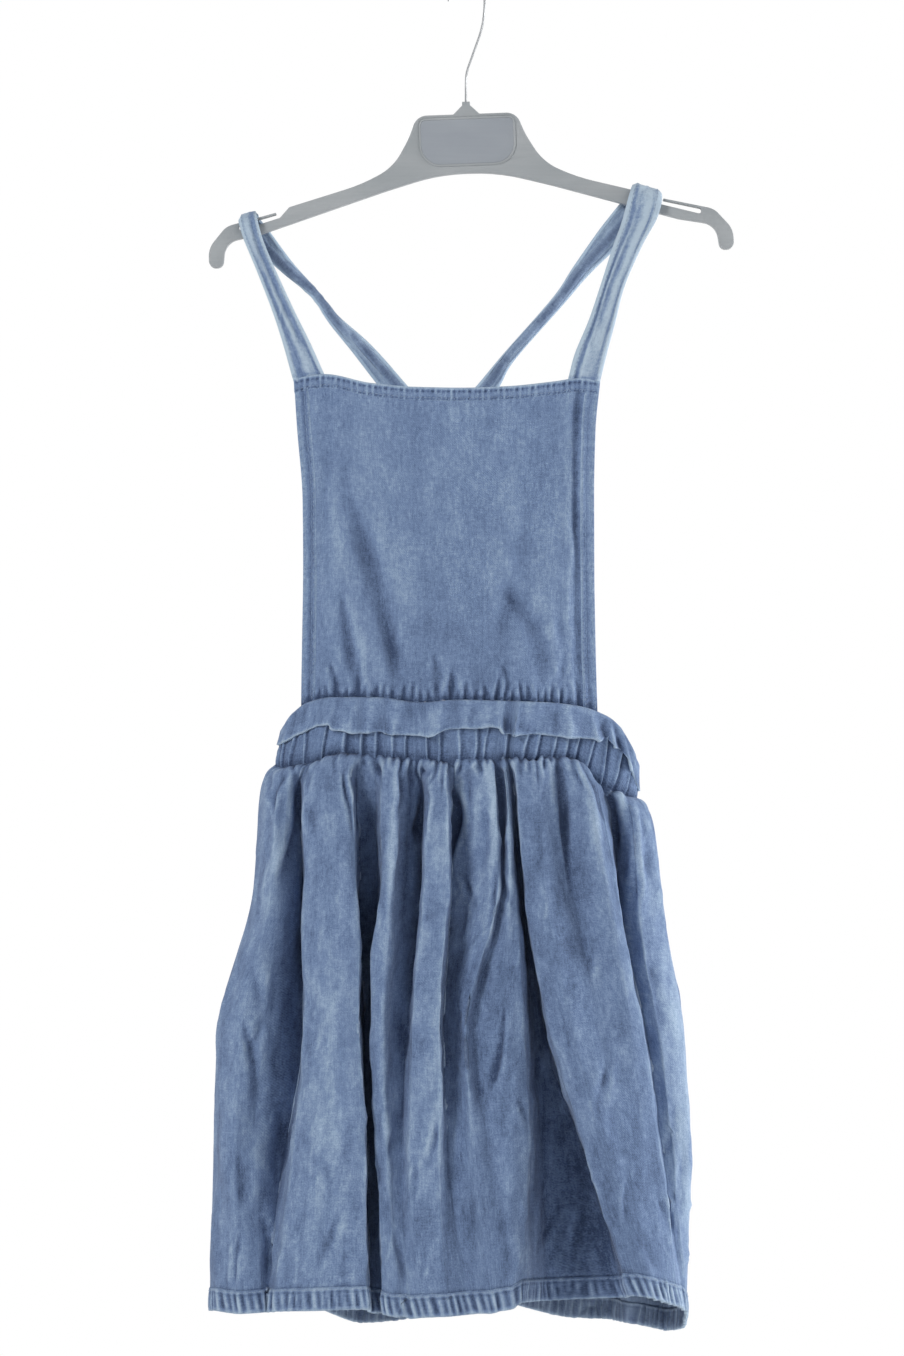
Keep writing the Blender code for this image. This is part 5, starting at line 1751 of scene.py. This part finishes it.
        # the ripples' crests paler, painted shade along the sunk stitch lines, and a worn paler free edge
        band.wear_and_shading += marks_and_shade * (0.2 * wave * hold + (0.75 * wave - 0.7) * sewn) + 0.6 * bell(edge, 0, 0.12)


@dataclass(frozen=True)
class StrapFold:
    """A lengthwise fold of a strap: share of the width, size, and the rows that it runs between."""

    name: str
    share: float
    width: float
    depth: float
    start: float
    end: float


STRAP_LEFT_FOLDS = (
    StrapFold("front_trough", 0.66, 0.17, 1.5, 0.4, 7.0),
    StrapFold("front_soft", 0.3, 0.12, 0.5, -1.0, 3.5),
    StrapFold("bib_streak", 0.82, 0.05, 0.5, -1.0, 1.8),
    StrapFold("back_groove", 0.45, 0.1, 1.7, 7.2, 12.0),
    StrapFold("back_soft", 0.62, 0.1, 1.5, 11.0, 17.5),
)

STRAP_RIGHT_FOLDS = (
    StrapFold("inner_edge", 0.24, 0.06, 1.0, -1.0, 7.0),
    StrapFold("front_soft", 0.42, 0.15, 1.3, 1.4, 6.4),
    StrapFold("front_line", 0.84, 0.04, 0.35, 0.5, 6.0),
    StrapFold("back_groove", 0.5, 0.1, 1.8, 7.2, 13.0),
    StrapFold("back_soft", 0.4, 0.1, 1.2, 12.5, 18.5),
)


@dataclass
class Strap:
    """Shoulder strap sewn double, from the bib over the hanger to the back of the waist.

    shown is its mean width as it hangs, foot how far it runs behind the bib and top_row where it turns over
    the hanger, both counted in rows.
    """

    finishes: Finishes
    name: str
    rows: tuple[StrapRow, ...]
    folds: tuple[StrapFold, ...]
    seed: float
    columns: int = 21
    steps: int = 14
    foot: float = 0.2
    shown: float = 17.0
    top_row: float = 6.0
    seam_in: int = 3
    stitch: Topstitch = Topstitch(length=2.1, pitch=2.8, thick=0.4)

    def build(self) -> Made:
        """Makes the strap and the stitches along both edges.

        Returns:
            The pieces, and the flat size of the strap.
        """
        flip = np.array([1.0, -1.0, 1.0])
        left = np.array([row.left for row in self.rows])[:, [0, 2, 1]] * flip
        right = np.array([row.right for row in self.rows])[:, [0, 2, 1]] * flip
        place = np.linspace(-self.foot, len(self.rows) - 1, self.steps * (len(self.rows) - 1) + 1)
        share = np.linspace(0, 1, self.columns)
        one, two = through(left, place), through(right, place)
        points = one[:, None] + (two - one)[:, None] * share[None, :, None]
        middle = points[:, self.columns // 2]
        length = float(np.linalg.norm(np.diff(middle, axis=0), axis=1).sum())
        sheet = Sheet(points, self.shown, length)
        self.crease(sheet, *np.meshgrid(share, place))
        strap = make_piece(self.name, sheet, WALLS.strap, self.finishes, self.finishes.strap)
        off = normals(sheet.points)
        lines = [(sheet.points[:, k], off[:, k]) for k in (self.seam_in, self.columns - 1 - self.seam_in)]
        stitches = self.stitch.sew(self.name + "_stitches", lines, self.finishes.thread)
        return [strap, stitches], {strap: (self.shown, length)}

    def crease(self, sheet: Sheet, across: Array, where: Array) -> None:
        """Gives the strap its folds, rolled edges, crumpling, wear and painted shade.

        Args:
            sheet: the strap, flat between its edges.
            across: share of its width at each point.
            where: place along it, counted in rows.
        """
        points = sheet.points
        relief = np.zeros_like(across)
        for number, fold in enumerate(self.folds):
            wander = fold.share + 0.03 * np.sin(where * 1.7 + number)
            run = np.clip(np.minimum(where - fold.start, fold.end - where) * 1.2, 0, 1)
            aside = (across - wander) / fold.width
            relief -= fold.depth * run * bell(aside, 0, 1)
            # painted shade in each fold's trough, paler beside it
            sheet.wear_and_shading += 0.45 * run * bell(aside, 1.6, 0.7) - 0.95 * run * bell(aside, 0, 1)
        edge = np.minimum(across, 1 - across)
        inside = np.clip(edge * 8, 0, 1)
        over_hanger = bell(where, self.top_row, 1.1)
        relief -= 0.8 * np.clip(1 - edge / 0.1, 0, 1) ** 2
        relief += 0.3 * bell(edge, 0.13, 0.05)
        relief += rumple(points, 11, 0.5, self.seed, squash=0.5) * inside
        relief *= 1 - 0.85 * over_hanger
        crushed = crumple(points, 8, 0.8, self.seed + 3, squash=0.45) * inside
        relief += crushed - 1.5 * np.clip(1 - (where + self.foot) / 0.25, 0, 1)
        sheet.lift(relief)
        sheet.points[..., 2] -= 2.4 * over_hanger * bell(edge, 0, 0.12)
        sheet.wear_ridges_shade_valleys(2.0, 1)
        behind = np.clip(where - (self.top_row + 0.5), 0, 1)
        front = np.clip((4.5 - where) / 3, 0, 1) * (1 - behind)
        sheet.wear_and_shading += 0.35 * behind + 0.15 - 0.3 * front + 0.35 * crushed
        sheet.wear_and_shading += (0.8 + 0.5 * behind) * bell(edge, 0, 0.09) - 0.5 * bell(edge, 0.21, 0.05)
        sheet.wear_and_shading += rumple(points, 5, 0.35, self.seed + 9, squash=0.3)
        # painted shade where the strap goes in behind the bib
        sheet.wear_and_shading -= 0.6 * bell(where, 0.02, 0.06)


# ---- hanger


@dataclass(frozen=True)
class Corner:
    """A corner of the hanger's half outline; Z is from the top of the boss, before the hanger tilts."""

    name: str
    x: float
    z: float
    radius: float


HANGER_HALF = (
    Corner("boss_top", 2.4, 0.0, 0.4),
    Corner("boss_foot", 2.4, -2.2, 0.5),
    Corner("gusset_foot", 8.0, -7.6, 1.0),
    Corner("block_corner", 30.5, -7.6, 9.0),
    Corner("block_side", 35.3, -20.5, 60.0),
    Corner("neck", 46.0, -38.6, 34.0),
    Corner("arm_root", 66.0, -48.4, 110.0),
    Corner("arm_top", 110.5, -60.6, 2.0),
    Corner("slot_floor_inner", 116.4, -66.9, 2.0),
    Corner("slot_floor_outer", 141.3, -73.9, 1.5),
    Corner("slot_roof_outer", 142.0, -70.6, 1.4),
    Corner("tongue_tip_under", 118.6, -64.8, 0.55),
    Corner("tongue_tip_top", 118.6, -63.6, 0.55),
    Corner("arm_shoulder", 149.5, -71.0, 12.0),
    Corner("arm_end", 160.8, -84.0, 14.0),
    Corner("tip_outer", 160.8, -96.0, 4.2),
    Corner("tip_inner", 152.3, -96.0, 4.0),
    Corner("inner_bend", 150.3, -80.6, 11.0),
    Corner("arm_under", 127.5, -76.2, 20.0),
    Corner("under_middle", 51.8, -53.0, 60.0),
    Corner("under_block", 18.0, -43.6, 118.0),
)


@dataclass
class TopHanger:
    """Moulded hanger body with strap slots and a plain recessed plate with a raised rim."""

    finishes: Finishes
    tilt: float = math.radians(2.1)
    top: float = -83.6
    thickness: float = 6.0
    edge: float = 1.1
    plate_half: float = 28.5
    plate_top: float = -10.5
    plate_bottom: float = -38.0
    plate_corner: float = 12.0
    plate_top_corner: float = 3.0
    recess: float = 0.6
    floor_rise: float = 0.12
    floor_sink: float = 0.3
    floor_gap: float = 0.15
    rim_width: float = 1.3
    rim_height: float = 0.5
    rim_sink: float = 0.1
    straight: float = 0.02
    fillet_step: float = math.radians(3)
    plate_step: float = math.radians(6)

    def rounded(self, corners: list[Triple], step: float) -> list[Vector]:
        """Outline with its corners rounded by fillets; a corner that is all but straight is left out.

        Args:
            corners: X, Z and radius of each corner.
            step: angle between the points of a fillet.

        Returns:
            Points of the outline as X and Z.
        """
        outline = []
        for i, (x, z, radius) in enumerate(corners):
            at = Vector((x, z))
            before = Vector(corners[i - 1][:2]) - at
            after = Vector(corners[(i + 1) % len(corners)][:2]) - at
            angle = before.angle(after)
            if math.pi - angle < self.straight:
                continue
            cut = min(radius / math.tan(angle / 2), 0.49 * min(before.length, after.length))
            radius = cut * math.tan(angle / 2)
            start, end = at + before.normalized() * cut, at + after.normalized() * cut
            inwards = (before.normalized() + after.normalized()).normalized()
            centre = at + inwards * (radius / math.sin(angle / 2))
            first = math.atan2(start.y - centre.y, start.x - centre.x)
            last = math.atan2(end.y - centre.y, end.x - centre.x)
            sweep = (last - first + math.pi) % (2 * math.pi) - math.pi
            steps = max(2, round((math.pi - angle) / step))
            for k in range(steps + 1):
                a = first + sweep * k / steps
                outline.append(centre + Vector((math.cos(a), math.sin(a))) * radius)
        return outline

    def tilted(self, x: float, z: float) -> Pair:
        """Point of the hanger's own outline, hung under the hook."""
        c, s = math.cos(self.tilt), math.sin(self.tilt)
        return x * c - z * s, self.top + x * s + z * c

    def face_at(self, bm: bmesh.types.BMesh, outline: list[Vector], front: float) -> bmesh.types.BMFace:
        """Flat face of an outline.

        Args:
            bm: the bmesh that takes it.
            outline: its points as X and Z, before the hanger tilts.
            front: distance in front of the hanger's plane.

        Returns:
            The face.
        """
        places = [self.tilted(point.x, point.y) for point in outline]
        return bm.faces.new([bm.verts.new(Vector((x, -front, z)) * MM) for x, z in places])

    def thicken(self, bm: bmesh.types.BMesh, faces: list[bmesh.types.BMFace], back: float) -> None:
        """Gives flat faces a depth.

        Args:
            bm: the bmesh that they are in.
            faces: the faces.
            back: how far back they reach, or forwards below 0.
        """
        grown = bmesh.ops.extrude_face_region(bm, geom=faces)["geom"]
        moved = [item for item in grown if isinstance(item, bmesh.types.BMVert)]
        bmesh.ops.translate(bm, verts=moved, vec=Vector((0, back * MM, 0)))
        bmesh.ops.recalc_face_normals(bm, faces=bm.faces)

    def slab(self, name: str, outline: list[Vector], front: float, back: float, *finishes: Finish) -> Piece:
        """Closed slab between two distances in front of the hanger's plane.

        Args:
            name: name of the piece.
            outline: its outline as X and Z.
            front: distance of its front.
            back: distance of its back.
            *finishes: its materials.

        Returns:
            The piece.
        """
        bm = bmesh.new()
        self.thicken(bm, [self.face_at(bm, outline, front)], front - back)
        return place_mesh(bm, name, *finishes)

    def plate_outline(self, grow: float) -> list[Vector]:
        """Outline of the plate, grown by a distance."""
        w, top, low = self.plate_half + grow, self.plate_top + grow, self.plate_bottom - grow
        r, s = self.plate_corner + grow, self.plate_top_corner + grow
        return self.rounded([(w, top, s), (w, low, r), (-w, low, r), (-w, top, s)], self.plate_step)

    def build(self) -> list[Piece]:
        """Makes the body, the plate's floor and its rim.

        Returns:
            The pieces, the body first.
        """
        half = [(c.x, c.z, c.radius) for c in HANGER_HALF]
        outline = self.rounded(half + [(-x, z, r) for x, z, r in reversed(half)], self.fillet_step)
        front = self.thickness / 2
        body = self.slab("hanger_body", outline, front, -front, self.finishes.plastic)
        cutter = self.slab("plate_cutter", self.plate_outline(0), front + 2, front - self.recess)
        cut = body.modifiers.new("plate", "BOOLEAN")
        cut.operation, cut.solver, cut.object = "DIFFERENCE", "EXACT", cutter
        self.freeze(body)
        bpy.data.objects.remove(cutter, do_unlink=True)
        self.soften(body, self.edge, 3)

        sunken, outline = front - self.recess, self.plate_outline(-self.floor_gap)
        high, low = sunken + self.floor_rise, sunken - self.floor_sink
        floor = self.slab("hanger_plate", outline, high, low, self.finishes.plate)
        self.soften(floor, 0.1, 1)
        return [body, floor, self.rim()]

    def rim(self) -> Piece:
        """Makes the raised rounded rim round the plate, in the finish with its painted highlight.

        Returns:
            The piece.
        """
        bm = bmesh.new()
        face = self.face_at(bm, self.plate_outline(self.rim_width), self.thickness / 2 - self.rim_sink)
        width = self.rim_width * MM
        bmesh.ops.inset_region(bm, faces=[face], thickness=width, use_boundary=True, use_even_offset=True)
        bmesh.ops.delete(bm, geom=[face], context="FACES_ONLY")
        self.thicken(bm, list(bm.faces), -(self.rim_height + self.rim_sink))
        piece = place_mesh(bm, "hanger_plate_rim", self.finishes.rim)
        self.soften(piece, 0.35, 3)
        return piece

    def soften(self, piece: Piece, edge: float, segments: int) -> None:
        """Rounds the edges of a moulded piece and smooths its curved sides.

        Args:
            piece: the piece.
            edge: width of the rounding.
            segments: how many facets it has.
        """
        bevel = piece.modifiers.new("edge", "BEVEL")
        bevel.width, bevel.segments = edge * MM, segments
        bevel.limit_method, bevel.angle_limit = "ANGLE", math.radians(50)
        bevel.harden_normals = False
        self.freeze(piece)
        for polygon in piece.data.polygons:
            polygon.use_smooth = True
        piece.data.set_sharp_from_angle(angle=math.radians(40))

    def freeze(self, piece: Piece) -> None:
        """Keeps a piece's mesh as its modifiers leave it.

        Args:
            piece: the piece.
        """
        bpy.context.view_layer.update()
        graph = bpy.context.evaluated_depsgraph_get()
        mesh = bpy.data.meshes.new_from_object(piece.evaluated_get(graph))
        piece.modifiers.clear()
        piece.data = mesh


# ---- studio


@dataclass
class Studio:
    """White studio: camera, soft lights and a pale floor, laid out in metres."""

    camera_at: Triple = (-0.0085, -2.4, -0.4365)
    aim: Triple = (0, 0, -0.45)
    lens: float = 103.94
    floor_z: float = -1.35
    floor_half: float = 2.6
    room_light: float = 0.27
    sweep_light: float = 0.85

    def build(self) -> None:
        """Sets the camera, the world and the lights, and lays the floor."""
        self.camera()
        self.room()
        self.light("key", (-1.8, -2.0, 0.8), 0.8, 42.0)
        self.light("fill", (1.4, -2.2, 0.1), 1.2, 8.0)
        self.light("side", (2.4, 0.0, -0.2), 1.0, 46.0)
        bm = bmesh.new()
        bmesh.ops.create_grid(bm, x_segments=2, y_segments=2, size=self.floor_half)
        bmesh.ops.translate(bm, verts=bm.verts, vec=Vector((0, 0, self.floor_z)))
        place_mesh(bm, "floor", PaleFloor().material())

    def camera(self) -> None:
        """Looks at the dress from the front."""
        lens = bpy.data.cameras.new("portrait")
        lens.lens, lens.sensor_width, lens.sensor_fit = self.lens, 36.0, "AUTO"
        camera = bpy.data.objects.new("portrait", lens)
        camera.location, camera.rotation_euler = self.camera_at, (math.radians(90), 0, 0)
        scene = bpy.context.scene
        scene.collection.objects.link(camera)
        scene.camera = camera
        scene.view_settings.view_transform = "Standard"

    def room(self) -> None:
        """Makes a dim room in front and a bright paper sweep behind, which the camera sees as white."""
        world = bpy.data.worlds.new("white_room")
        world.use_nodes = True
        nodes, join = world.node_tree.nodes, world.node_tree.links.new
        room, sweep = nodes["Background"], nodes.new("ShaderNodeBackground")
        for light in (room, sweep):
            light.inputs["Color"].default_value = (1.0, 1.0, 1.0, 1.0)
        way, parts = nodes.new("ShaderNodeTexCoord"), nodes.new("ShaderNodeSeparateXYZ")
        spread = nodes.new("ShaderNodeMapRange")
        limits = {"From Min": -0.1, "From Max": 0.55, "To Min": self.room_light, "To Max": self.sweep_light}
        for name, value in limits.items():
            spread.inputs[name].default_value = value
        join(way.outputs["Generated"], parts.inputs["Vector"])
        join(parts.outputs["Y"], spread.inputs["Value"])
        join(spread.outputs["Result"], room.inputs["Strength"])
        rays, mix = nodes.new("ShaderNodeLightPath"), nodes.new("ShaderNodeMixShader")
        join(rays.outputs["Is Camera Ray"], mix.inputs["Fac"])
        join(room.outputs["Background"], mix.inputs[1])
        join(sweep.outputs["Background"], mix.inputs[2])
        join(mix.outputs["Shader"], nodes["World Output"].inputs["Surface"])
        bpy.context.scene.world = world

    def light(self, name: str, at: Triple, size: float, power: float) -> None:
        """Hangs a soft square light aimed at the middle of the garment.

        Args:
            name: its name.
            at: its place in metres.
            size: its side in metres.
            power: watts.
        """
        lamp = bpy.data.lights.new(name, "AREA")
        lamp.shape, lamp.size, lamp.energy = "SQUARE", size, power
        holder = bpy.data.objects.new(name, lamp)
        holder.location = at
        holder.rotation_euler = (Vector(self.aim) - Vector(at)).to_track_quat("-Z", "Y").to_euler()
        bpy.context.scene.collection.objects.link(holder)


# ---- putting together


def declare(pieces: list[Piece], sizes: Sizes, held: Held) -> None:
    """Attaches a sub-assembly's pieces to the root, hides the imported node that each sheet stands for and
    logs its flat size and how it is held.

    Args:
        pieces: a sub-assembly's sheets and stitches.
        sizes: flat width and length of each sheet.
        held: how the sheets are held.
    """
    for piece in pieces:
        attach(piece, "root")
    for number, (piece, (wide, long)) in enumerate(sizes.items()):
        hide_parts(piece.name.removesuffix("_cloth"))
        LOG.info("%s: %d x %d mm of cloth, %s", piece.name, wide, long, held.value)


def main() -> None:
    """Builds the dress and its hanger, dresses them and sets up the studio."""
    logging.basicConfig(level=logging.INFO, format="%(name)s: %(message)s")
    Studio().build()
    finishes = Finishes()
    front = SkirtPanel(
        finishes,
        Side.FRONT,
        SKIRT_FRONT,
        SKIRT_FRONT_CREASES + SKIRT_FRONT_PINCHES,
        PAINTED_SHADING_FRONT,
        Gathers(seed=7, depth=(0.4, 1.4), reach=(5.0, 26.0)),
        columns=500,
        rows=94,
        hem_columns=640,
    )
    back = SkirtPanel(
        finishes,
        Side.BACK,
        SKIRT_BACK,
        SKIRT_BACK_CREASES,
        TONE_PATCHES_BACK,
        Gathers(seed=19, calm=((30, 60), (120, 150))),
        columns=330,
        rows=110,
        hem_columns=480,
    )
    tucks_front = Tucks(seed=3, pitch=(6.5, 13.5), width=0.62, height=1.6, end_lean=8.0)
    tucks_back = Tucks(seed=5, pitch=(6.0, 12.5), width=0.7, height=1.6)
    waist = WaistHalf(finishes, front, WAIST_FRONT, DENTS_FRONT, depth=38.0, tucks=tucks_front, columns=620)
    waist_back = WaistHalf(finishes, back, WAIST_BACK, DENTS_BACK, depth=36.0, tucks=tucks_back, columns=480)
    for gathered in (front, back, waist, waist_back):
        declare(*gathered.build(), Held.GATHERED)
    strap_left = Strap(finishes, "strap_left", STRAP_LEFT, STRAP_LEFT_FOLDS, seed=3.0)
    strap_right = Strap(finishes, "strap_right", STRAP_RIGHT, STRAP_RIGHT_FOLDS, seed=8.0)
    for hung in (Bib(finishes, waist), strap_left, strap_right):
        declare(*hung.build(), Held.HUNG)
    hanger = TopHanger(finishes).build()
    for piece in hanger:
        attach(piece, "root")
        LOG.info("%s made", piece.name)
    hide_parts("hanger_body")
    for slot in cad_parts["hanger_hook"].material_slots:
        slot.material = finishes.wire


if __name__ == "__main__":
    main()
